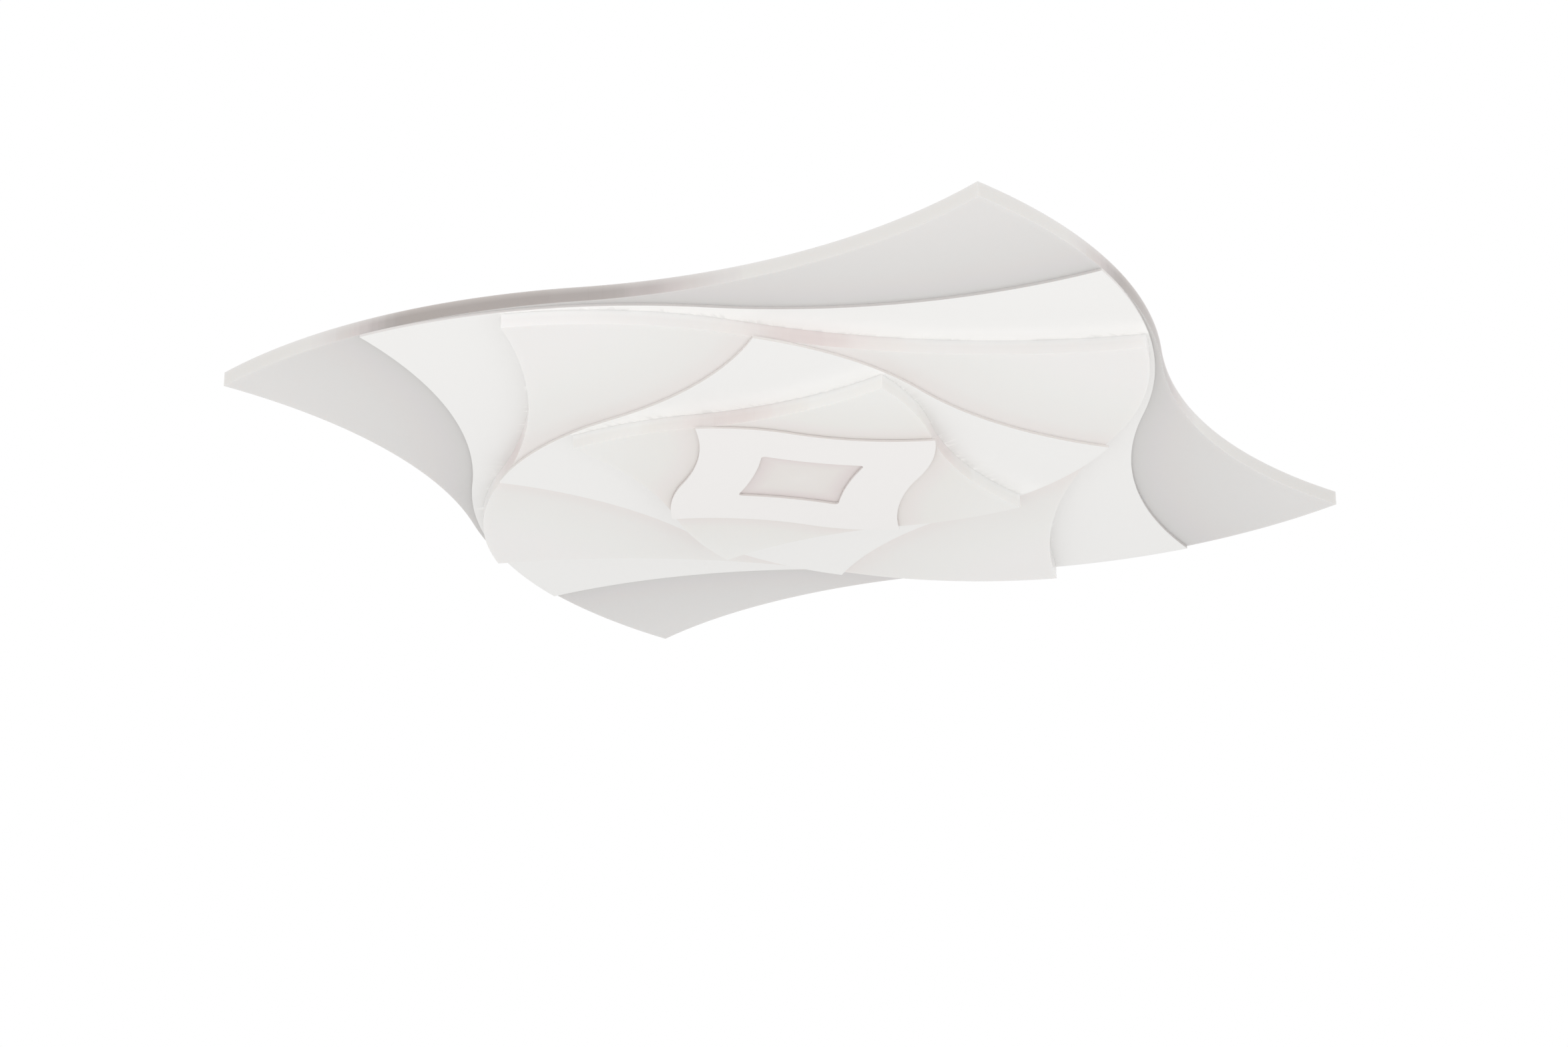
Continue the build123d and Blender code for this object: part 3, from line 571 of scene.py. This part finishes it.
def cellsForPaintedLight(mesh, radius, tree):
    # cuts the face into small cells, finer beside the outline below, for painted shade and glow
    cell = layerShape["paintedLightCell"]
    count = int(radius / cell)
    for normal in (Vector((1, 0, 0)), Vector((0, 1, 0))):
        for step in range(-count, count + 1):
            everything = mesh.verts[:] + mesh.edges[:] + mesh.faces[:]
            bmesh.ops.bisect_plane(mesh, geom=everything, dist=joinWithin, plane_no=normal,
                                   plane_co=normal * step * cell)
    band = [face for face in mesh.faces
            if abs(signedReach(tree, face.calc_center_median())) < layerShape["fineBand"]]
    near = {edge for face in band for edge in face.edges}
    bmesh.ops.subdivide_edges(mesh, edges=[edge for edge in mesh.edges if edge in near],
                              cuts=layerShape["fineCuts"], use_grid_fill=True)


def coverShare(tree, place):
    # the share of the slab round a point that the sheet below covers, for the walls' painted
    # shade and painted light
    found = total = 0.0
    steps = layerShape["coverSteps"]
    for ring in layerShape["coverRings"]:
        for step in range(steps):
            beside = onCircle(layerShape["coverReach"] * ring, 360 * step / steps)
            total += ring
            if signedReach(tree, place + beside) < 0:
                found += ring
    return found / total


def paintedGlowShare(tree, place):
    # painted glow: bright in front of a wall, nothing behind or beside it
    flat = Vector((place.x, place.y, 0))
    nearest, _, distance = tree.find(flat)
    facing = (nearest.y - flat.y) / max(distance, joinWithin)
    low, high = layerShape["paintedGlowFacing"]
    share = 0.0
    for (start, first), (end, second) in zip(paintedGlowFall, paintedGlowFall[1:]):
        if start <= distance < end:
            share = first + (second - first) * (distance - start) / (end - start)
    return share * min(max((facing - low) / (high - low), 0.0), 1.0)


def storePaintedGlow(mesh, tree):
    # painted glow: a sheet is painted brighter only outside the slab below it
    kept = mesh.verts.layers.float.new("glow")
    for vertex in mesh.verts:
        outside = signedReach(tree, vertex.co) > 0
        vertex[kept] = paintedGlowShare(tree, vertex.co) if outside else 0.0


def storePaintedShade(mesh, below, tree):
    # for the painted shade, each vertex of a slab keeps its distance to the sheet below, which is
    # below zero under the sheet and counts from the window's edge in a window, and on its outline
    # the covered share
    windowTree = None
    if "window" in below:
        windowTree = outlineTree(lambda drawn: windowHole(drawn, below["window"], below["low"],
                                                          layerShape["compareSteps"]))
    kept = {name: mesh.verts.layers.float.new(name) for name in ("reach", "cover", "rise")}
    for vertex in mesh.verts:
        outside = signedReach(tree, vertex.co)
        if outside < 0 and windowTree:
            outside = min(signedReach(windowTree, vertex.co), 0.0)
        vertex[kept["reach"]] = outside
        if vertex.is_boundary:
            vertex[kept["cover"]] = coverShare(tree, vertex.co)


def drawLayer(mesh, layer):
    # the flat underside with its holes
    low = layer["low"]
    edges = waveOutline(mesh, layer, layerShape["waveSteps"])
    if "bore" in layer:
        edges += roundHole(mesh, layer["bore"], (0, 0, low), layerShape["boreSteps"])
    for circle, count, start in layer.get("screws", []):
        for index in range(count):
            place = onCircle(circle, start + 360 * index / count, low)
            edges += roundHole(mesh, layerShape["screwHole"], place, layerShape["screwSteps"])
    if "window" in layer:
        edges += windowHole(mesh, layer["window"], low, layerShape["windowSteps"])
    bmesh.ops.triangle_fill(mesh, use_beauty=True, use_dissolve=False, edges=edges,
                            normal=(0, 0, -1))


def makeLayer(layer, below):
    mesh = bmesh.new()
    drawLayer(mesh, layer)
    slab = layer["slot"] == "opal_slab"
    if below:
        tree = outlineTree(lambda drawn: waveOutline(drawn, below, layerShape["compareSteps"]))
        cellsForPaintedLight(mesh, layer["radius"], tree)
        if slab:
            storePaintedShade(mesh, below, tree)
        else:
            storePaintedGlow(mesh, tree)
    raised = raiseFaces(mesh, mesh.faces[:], layer["thick"])
    if slab:
        rise = mesh.verts.layers.float.get("rise")
        for vertex in raised:
            vertex[rise] = 1.0
    finishPiece(mesh, layer["node"], layer["finish"], layer["edge"])


for layer, below in zip(layers, layers[1:] + [None]):
    makeLayer(layer, below)
print("six layers cut and stacked")


# Metals. Zinc plate: small crystal patches, a little yellow and blue, and drawn scratches
zincFinish = {
    "colour": (0.62, 0.62, 0.63),
    "cool": (0.94, 0.97, 1.01),
    "warm": (1.05, 1.02, 0.95),
    "patches": 420.0,
    "stains": 9.0,
    "stainDepth": 0.07,
    "scratchScale": (40.0, 700.0, 700.0),
    "roughness": (0.30, 0.40),
    "depth": 0.000008,
}


def makeZincPlate():
    look = zincFinish
    material, shader = newMaterial("zincPlate", look["colour"], Metallic=1.0)
    place = objectPlace(material)
    cells = addNode(material, "ShaderNodeTexVoronoi", {"Vector": place}, Scale=look["patches"])
    patch = addNode(material, "ShaderNodeSeparateColor", {"Color": cells.outputs["Color"]})
    tones = [(0.0, tinted(look["colour"], look["cool"])), (0.5, look["colour"]),
             (1.0, tinted(look["colour"], look["warm"]))]
    tone = ramp(material, patch.outputs["Red"], tones)
    stain = noise(material, place, look["stains"], detail=2.0)
    colour = clouded(material, tone, stain, look["stainDepth"])
    scratch = noise(material, stretched(material, place, look["scratchScale"]), 1.0, detail=5.0)
    return dress(material, shader, look, colour, scratch, scratch)


# Powder coat: orange peel, and dust that dulls the upward faces a little
coatFinish = {
    "colour": paint(238, 238, 236),
    "dust": paint(222, 220, 215),
    "dustLean": (0.5, 1.0),
    "dustMost": 0.6,
    "speckles": 130.0,
    "speckleSpan": (0.45, 0.7),
    "clouds": 12.0,
    "roughness": (0.42, 0.56),
    "peel": 950.0,
    "depth": 0.00005,
}


def makePowderCoat():
    look = coatFinish
    material, shader = newMaterial("powderCoat", look["colour"])
    place = objectPlace(material)
    up = rescaled(material, stored(material, "lean"), *look["dustLean"], 0.0, look["dustMost"])
    speckle = noise(material, place, look["speckles"], detail=6.0)
    dust = calculate(material, "MULTIPLY", up, rescaled(material, speckle, *look["speckleSpan"]))
    colour = mixed(material, dust, look["colour"], look["dust"])
    peel = noise(material, place, look["peel"], detail=1.0)
    return dress(material, shader, look, colour, noise(material, place, look["clouds"]), peel)


# Spun aluminium: rings from the lathe round the lamp's axis
aluminiumFinish = {
    "colour": (0.80, 0.81, 0.82),
    "rings": 1400.0,
    "clouds": 14.0,
    "cloudRange": (0.8, 1.2),
    "dullDepth": 0.14,
    "dullSpan": (0.3, 0.62),
    "roughness": (0.24, 0.40),
    "depth": 0.00001,
}


def makeSpunAluminium():
    look = aluminiumFinish
    material, shader = newMaterial("spunAluminium", look["colour"], Metallic=1.0)
    place = objectPlace(material)
    flat = addNode(material, "ShaderNodeVectorMath", {0: place}, operation="MULTIPLY")
    flat.inputs[1].default_value = (1, 1, 0)  # leaves the height out
    radius = addNode(material, "ShaderNodeVectorMath", {0: flat.outputs[0]}, operation="LENGTH")
    along = addNode(material, "ShaderNodeCombineXYZ", {"X": radius.outputs["Value"]})
    ring = noise(material, along.outputs[0], look["rings"])
    cloud = noise(material, place, look["clouds"])
    strength = rescaled(material, cloud, *noiseSpan, *look["cloudRange"])
    pattern = calculate(material, "MULTIPLY", ring, strength)
    colour = clouded(material, look["colour"], pattern, look["dullDepth"], look["dullSpan"])
    return dress(material, shader, look, colour, ring, ring)


# Tinned copper: bright tin that wears through to copper in small spots
tinFinish = {
    "tin": (0.74, 0.73, 0.70),
    "copper": (0.72, 0.43, 0.30),
    "spots": 420.0,
    "spotSpan": (0.62, 0.72),
    "sheen": 180.0,
    "roughness": (0.24, 0.42),
    "depth": 0.00001,
}


def makeTinnedCopper():
    look = tinFinish
    material, shader = newMaterial("tinnedCopper", look["tin"], Metallic=1.0)
    place = objectPlace(material)
    worn = rescaled(material, noise(material, place, look["spots"], detail=6.0), *look["spotSpan"])
    colour = mixed(material, worn, look["tin"], look["copper"])
    return dress(material, shader, look, colour, noise(material, place, look["sheen"]), worn)


# Circuit strips: solder mask that lets the copper tracks show through as fine lines
maskFinish = {
    "white": {"mask": paint(233, 233, 229), "track": paint(219, 220, 214)},
    "green": {"mask": paint(52, 110, 66), "track": paint(78, 142, 84)},
    "bricks": 210.0,
    "trackWidth": {"Mortar Size": 0.06, "Mortar Smooth": 0.2},
    "specks": 300.0,
    "speckDepth": 0.05,
    "speckSpan": (0.3, 0.6),
    "sheen": 90.0,
    "roughness": (0.30, 0.44),
    "depth": 0.00003,
}


def makeCircuit(name, colours):
    look = maskFinish
    material, shader = newMaterial(name, colours["mask"])
    place = objectPlace(material)
    line = addNode(material, "ShaderNodeTexBrick", {"Vector": place}, Scale=look["bricks"],
                   **look["trackWidth"]).outputs["Fac"]
    speck = noise(material, place, look["specks"], detail=4.0)
    pattern = mixed(material, line, colours["mask"], colours["track"])
    colour = clouded(material, pattern, speck, look["speckDepth"], look["speckSpan"])
    return dress(material, shader, look, colour, noise(material, place, look["sheen"]), line)


# LED packages: a yellow phosphor fill with grains in it, domed glossy silicone
phosphorFinish = {
    "pale": paint(246, 226, 130),
    "deep": paint(233, 190, 74),
    "grain": 2600.0,
    "grainSpan": (0.35, 0.6),
    "sheen": 700.0,
    "roughness": (0.16, 0.30),
    "depth": 0.00004,
}


def makePhosphor():
    look = phosphorFinish
    material, shader = newMaterial("phosphor", look["pale"])
    place = objectPlace(material)
    grain = noise(material, place, look["grain"], detail=2.0)
    low, high = look["grainSpan"]
    colour = ramp(material, grain, [(low, look["deep"]), (high, look["pale"])])
    return dress(material, shader, look, colour, noise(material, place, look["sheen"]), grain)


# Moulded plastics: spark-eroded grain, and a faint flow of the pigment
plasticFlow = {"scale": (40.0, 110.0, 60.0), "depth": 0.08, "span": (0.3, 0.65)}
plasticFinish = {
    "driver": {"colour": paint(236, 236, 234), "grain": 1500.0, "depth": 0.00005,
               "roughness": (0.44, 0.58)},
    "terminal": {"colour": paint(166, 168, 172), "grain": 1800.0, "depth": 0.00004,
                 "roughness": (0.40, 0.54)},
    "lever": {"colour": paint(226, 112, 36), "grain": 900.0, "depth": 0.00001,
              "roughness": (0.20, 0.34)},
}


def makeMoulded(name, look):
    material, shader = newMaterial(name, look["colour"])
    place = objectPlace(material)
    flow = noise(material, stretched(material, place, plasticFlow["scale"]), 1.0)
    colour = clouded(material, look["colour"], flow, plasticFlow["depth"], plasticFlow["span"])
    grain = noise(material, place, look["grain"], detail=2.0)
    return dress(material, shader, look, colour, grain, grain)


# Rubber: matt black with bloom in patches
rubberFinish = {
    "colour": paint(34, 34, 35),
    "bloom": paint(66, 66, 68),
    "patches": 160.0,
    "patchSpan": (0.48, 0.75),
    "grain": 1200.0,
    "roughness": (0.55, 0.75),
    "depth": 0.00006,
}


def makeRubber():
    look = rubberFinish
    material, shader = newMaterial("rubber", look["colour"])
    place = objectPlace(material)
    patch = noise(material, place, look["patches"], detail=5.0)
    bloom = rescaled(material, patch, *look["patchSpan"])
    colour = mixed(material, bloom, look["colour"], look["bloom"])
    grain = noise(material, place, look["grain"], detail=2.0)
    return dress(material, shader, look, colour, grain, grain)


# Wire insulation: soft sheen with faint draw lines; the earth wire's top has a yellow stripe
wireFinish = {
    "brown": paint(112, 70, 44),
    "blue": paint(44, 88, 176),
    "green": paint(52, 132, 62),
    "white": paint(232, 232, 229),
    "stripe": paint(226, 204, 44),
    "stripeEdge": (0.66, 0.72),
    "wear": 190.0,
    "wearDepth": 0.16,
    "wearSpan": (0.3, 0.6),
    "draw": 800.0,
    "roughness": (0.30, 0.44),
    "depth": 0.00002,
}


def makeWireCoat(name, base, stripe=None):
    look = wireFinish
    material, shader = newMaterial(name, base)
    place = objectPlace(material)
    wear = noise(material, place, look["wear"], detail=4.0)
    colour = clouded(material, base, wear, look["wearDepth"], look["wearSpan"])
    if stripe:
        top = rescaled(material, stored(material, "lean"), *look["stripeEdge"])
        colour = mixed(material, top, colour, stripe)
    draw = noise(material, place, look["draw"], detail=1.0)
    return dress(material, shader, look, colour, draw, draw)


# every finish by the name of its material slot
finishes = {
    "zinc_steel": makeZincPlate(),
    "white_steel": makePowderCoat(),
    "dish_aluminium": makeSpunAluminium(),
    "tinned_copper": makeTinnedCopper(),
    "white_circuit": makeCircuit("whiteCircuit", maskFinish["white"]),
    "driver_circuit": makeCircuit("greenCircuit", maskFinish["green"]),
    "led_phosphor": makePhosphor(),
    "driver_plastic": makeMoulded("driverPlastic", plasticFinish["driver"]),
    "terminal_plastic": makeMoulded("terminalPlastic", plasticFinish["terminal"]),
    "lever_plastic": makeMoulded("leverPlastic", plasticFinish["lever"]),
    "grommet_rubber": makeRubber(),
    "brown_wire": makeWireCoat("brownWire", wireFinish["brown"]),
    "blue_wire": makeWireCoat("blueWire", wireFinish["blue"]),
    "green_wire": makeWireCoat("earthWire", wireFinish["green"], wireFinish["stripe"]),
    "white_wire": makeWireCoat("whiteWire", wireFinish["white"]),
}
print("metal, circuit, plastic, rubber and wire finishes made")


# Pieces behind the layers: each CAD form gets rounded edges as wide as the real ones
refined = {
    "ceiling_ring": {"slot": "zinc_steel", "edge": 0.0003},
    "hanging_studs": {"slot": "zinc_steel", "edge": 0.0003},
    "ceiling_pan": {"slot": "white_steel", "edge": 0.0004},
    "hanger_ring": {"slot": "white_steel", "edge": 0.0003},
    "large_led_dish": {"slot": "dish_aluminium", "edge": 0.0004},
    "middle_led_dish": {"slot": "dish_aluminium", "edge": 0.0004},
    "small_led_dish": {"slot": "dish_aluminium", "edge": 0.0004},
    "large_leds": {"slot": "led_phosphor", "edge": 0.00022},
    "middle_leds": {"slot": "led_phosphor", "edge": 0.00022},
    "small_leds": {"slot": "led_phosphor", "edge": 0.00022},
    "centre_leds": {"slot": "led_phosphor", "edge": 0.00022},
    "centre_board": {"slot": "white_circuit", "edge": 0.0002},
    "outer_spacers": {"slot": "zinc_steel", "edge": 0.0003},
    "upper_core_spacers": {"slot": "zinc_steel", "edge": 0.0003},
    "middle_core_spacers": {"slot": "zinc_steel", "edge": 0.0003},
    "lower_core_spacers": {"slot": "zinc_steel", "edge": 0.0003},
    "large_tier_nuts": {"slot": "zinc_steel", "edge": 0.0003},
    "middle_tier_nuts": {"slot": "zinc_steel", "edge": 0.0003},
    "core_nuts": {"slot": "zinc_steel", "edge": 0.0003},
    "lead_grommet": {"slot": "grommet_rubber", "edge": 0.0006},
    "driver_case": {"slot": "driver_plastic", "edge": 0.0005},
    "driver_cover": {"slot": "driver_plastic", "edge": 0.0005},
    "terminal_block": {"slot": "terminal_plastic", "edge": 0.0003},
    "lever_pin": {"slot": "zinc_steel", "edge": 0.0002},
    "clamp_base": {"slot": "terminal_plastic", "edge": 0.0004},
    "clamp_strap": {"slot": "terminal_plastic", "edge": 0.0005},
    "earth_stud": {"slot": "zinc_steel", "edge": 0.0003},
    "earth_nut": {"slot": "zinc_steel", "edge": 0.0003},
    "earth_lug": {"slot": "tinned_copper", "edge": 0.00015},
}
# CAD pieces whose form is right as it is, and which only take a finish
plain = {
    "large_led_strip": "white_circuit",
    "middle_led_strip": "white_circuit",
    "small_led_strip": "white_circuit",
    "driver_board": "driver_circuit",
    "large_tier_screws": "zinc_steel",
    "middle_tier_screws": "zinc_steel",
    "core_screws": "zinc_steel",
    "live_lead": "brown_wire",
    "neutral_lead": "blue_wire",
    "large_led_lead": "white_wire",
    "middle_led_lead": "white_wire",
    "small_led_lead": "white_wire",
}


def mergedCopy(node, flatten=True):
    # the CAD form with its split corners joined and its flat faces made whole again
    mesh = bmesh.new()
    mesh.from_mesh(nodes[node].data)
    bmesh.ops.remove_doubles(mesh, verts=mesh.verts[:], dist=pieceFinish["joinWithin"])
    if flatten:
        bmesh.ops.dissolve_limit(mesh, angle_limit=math.radians(pieceFinish["flatAngle"]),
                                 verts=mesh.verts[:], edges=mesh.edges[:])
    return mesh


for node, piece in refined.items():
    finishPiece(mergedCopy(node), node, finishes[piece["slot"]], piece["edge"])
print("hidden pieces refined")

for node, slotName in plain.items():
    data = nodes[node].data
    data.materials.clear()
    data.materials.append(finishes[slotName])
# the earth wire's stripe follows its upper side, so its copy keeps the lean of each vertex
finishPiece(mergedCopy("earth_lead", flatten=False), "earth_lead", finishes["green_wire"],
            rounded=True)
print("wires, strips and tier screws finished")


# Levers of the terminal block: the CAD form with three finger ribs across the handle's tip.
# Of a rib's depth only its height stands proud
leverShape = {
    "ribs": 3,
    "ribPitch": 0.0016,
    "ribHeight": 0.00035,
    "ribDepth": 0.00105,
    "ribWidth": 0.0008,
    "ribLength": 0.0064,
    "tipInset": 0.0016,
    "edge": 0.0003,
    "edgeSteps": 2,
}


def makeLever(node):
    low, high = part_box(node)
    mesh = mergedCopy(node)
    middle = (low[0] + high[0]) / 2
    level = high[2] + leverShape["ribHeight"] - leverShape["ribDepth"] / 2
    size = (leverShape["ribLength"], leverShape["ribWidth"], leverShape["ribDepth"], 1)
    for rib in range(leverShape["ribs"]):
        along = low[1] + leverShape["tipInset"] + rib * leverShape["ribPitch"]
        place = Matrix.Translation((middle, along, level))
        bmesh.ops.create_cube(mesh, size=1.0, matrix=place @ Matrix.Diagonal(size))
    finishPiece(mesh, node, finishes["lever_plastic"],
                leverShape["edge"], leverShape["edgeSteps"])


for node in ("live_lever", "neutral_lever", "earth_lever"):
    makeLever(node)
print("three levers made")


# Screws with a pan head and a cross recess, for the driver, the terminal block and the clamp
panScrew = {
    "shank": 0.0015,
    "head": 0.0028,
    "headHeight": 0.0018,
    "crown": 0.0006,
    "crownSteps": 4,
    "steps": 28,
    "recessWidth": 0.0008,
    "recessLength": 0.0030,
    "recessDepth": 0.0009,
    "recessTaper": 0.55,
    "recessTurn": 20,
}


def crossCutter(mesh, centre, top):
    for turn in (0, quarterTurn):
        arm = bmesh.ops.create_cube(mesh, size=1.0)["verts"]
        for vertex in arm:
            deep = vertex.co.z < 0
            narrow = panScrew["recessTaper"] if deep else 1.0
            vertex.co.x *= panScrew["recessLength"] * narrow
            vertex.co.y *= panScrew["recessWidth"] * narrow
            vertex.co.z = -panScrew["recessDepth"] if deep else panScrew["recessDepth"]
        turned = Matrix.Rotation(math.radians(turn + panScrew["recessTurn"]), 4, "Z")
        bmesh.ops.transform(mesh, matrix=Matrix.Translation((*centre, top)) @ turned, verts=arm)


def roundBar(mesh, radius, place, height):
    # a round bar that stands on a place, and the vertices of its upper end
    ring = bmesh.ops.create_circle(mesh, cap_ends=True, radius=radius, segments=panScrew["steps"],
                                   matrix=Matrix.Translation(place))["verts"]
    return raiseFaces(mesh, [ring[0].link_faces[0]], height)


def makePanScrews(node):
    low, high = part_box(node)
    bottom, top = low[2], high[2]
    seat = top - panScrew["headHeight"]
    row = (low[1] + high[1]) / 2
    centres = [(low[0] + panScrew["head"], row), (high[0] - panScrew["head"], row)]
    mesh = bmesh.new()
    for centre in centres:
        roundBar(mesh, panScrew["shank"], (*centre, bottom), seat - bottom)
        raised = roundBar(mesh, panScrew["head"], (*centre, seat), panScrew["headHeight"])
        rim = [e for e in mesh.edges if e.verts[0] in raised and e.verts[1] in raised]
        bmesh.ops.bevel(mesh, geom=rim, offset=panScrew["crown"], segments=panScrew["crownSteps"],
                        profile=0.5, affect="EDGES", material=-1)
    screws = finishPiece(mesh, node, finishes["zinc_steel"])
    recesses = bmesh.new()
    for centre in centres:
        crossCutter(recesses, centre, top)
    cutAway(screws, recesses)


def cutAway(piece, cutMesh):
    # takes a shape out of a piece, and leaves no cutter in the scene
    cutter = objectFrom(cutMesh, "cutter")
    cut = piece.modifiers.new("cut", "BOOLEAN")
    cut.operation = "DIFFERENCE"
    cut.solver = "EXACT"
    cut.use_self = True
    cut.object = cutter
    bpy.context.view_layer.update()
    result = piece.evaluated_get(bpy.context.evaluated_depsgraph_get())
    data = bpy.data.meshes.new_from_object(result)
    piece.modifiers.clear()
    piece.data = data
    bpy.data.objects.remove(cutter)


for node in ("driver_screws", "terminal_screws", "clamp_screws"):
    makePanScrews(node)
print("cross-head screws made")


# Stage: a pale floor far below, and even light from all round
stageSetup = {
    "floorLevel": -5.5,
    "floorSize": 44.0,
    "floorColour": (0.90, 0.90, 0.90),
    "floorRoughness": 0.9,
    "floorGlow": 0.7,
    "skyLight": 1.045,
    "skySeen": 1.0,
    "aim": (0, 0, -0.05),
    "lamps": [
        {"name": "frontLight", "place": (-1.6, -2.6, -1.7), "size": 2.4, "power": 12.0},
        {"name": "sideLight", "place": (2.6, -1.2, -1.2), "size": 2.0, "power": 6.0},
    ],
}


def makeFloorPaint(setup):
    # to the camera alone the floor glows, so that it shows as plain as the sky
    material, shader = newMaterial("floorPaint", setup["floorColour"],
                                   Roughness=setup["floorRoughness"])
    glow = addNode(material, "ShaderNodeEmission", Color=(1, 1, 1, 1))
    seen = addNode(material, "ShaderNodeLightPath").outputs["Is Camera Ray"]
    share = rescaled(material, seen, 0.0, 1.0, 0.0, setup["floorGlow"])
    mix = addNode(material, "ShaderNodeMixShader", {
        "Fac": share, 1: shader.outputs["BSDF"], 2: glow.outputs["Emission"]})
    surface = material.node_tree.nodes["Material Output"].inputs["Surface"]
    connect(material, mix.outputs["Shader"], surface)
    return material


def makeFloor(setup):
    mesh = bmesh.new()
    bmesh.ops.create_grid(mesh, x_segments=2, y_segments=2, size=setup["floorSize"] / 2,
                          matrix=Matrix.Translation((0, 0, setup["floorLevel"])))
    floor = objectFrom(mesh, "floor")
    floor.data.materials.append(makeFloorPaint(setup))


def makeSky(setup):
    # plain white where it is seen, and a little brighter as a light
    world = bpy.data.worlds.new("studio")
    scene.world = world
    world.use_nodes = True
    background = world.node_tree.nodes["Background"]
    background.inputs["Color"].default_value = (1, 1, 1, 1)
    path = addNode(world, "ShaderNodeLightPath").outputs
    seen = calculate(world, "MAXIMUM", path["Is Camera Ray"], path["Is Glossy Ray"])
    seen = calculate(world, "MAXIMUM", seen, path["Is Transmission Ray"])
    level = rescaled(world, seen, 0.0, 1.0, setup["skyLight"], setup["skySeen"])
    connect(world, level, background.inputs["Strength"])


def makeLamps(setup):
    for lamp in setup["lamps"]:
        data = bpy.data.lights.new(lamp["name"], "AREA")
        data.shape = "DISK"
        data.size = lamp["size"]
        data.energy = lamp["power"]
        light = bpy.data.objects.new(lamp["name"], data)
        light.location = lamp["place"]
        aim = Vector(setup["aim"]) - Vector(lamp["place"])
        light.rotation_euler = aim.to_track_quat("-Z", "Y").to_euler()
        light.visible_camera = False
        scene.collection.objects.link(light)


makeFloor(stageSetup)
makeSky(stageSetup)
makeLamps(stageSetup)
print("stage, sky and lamps set")
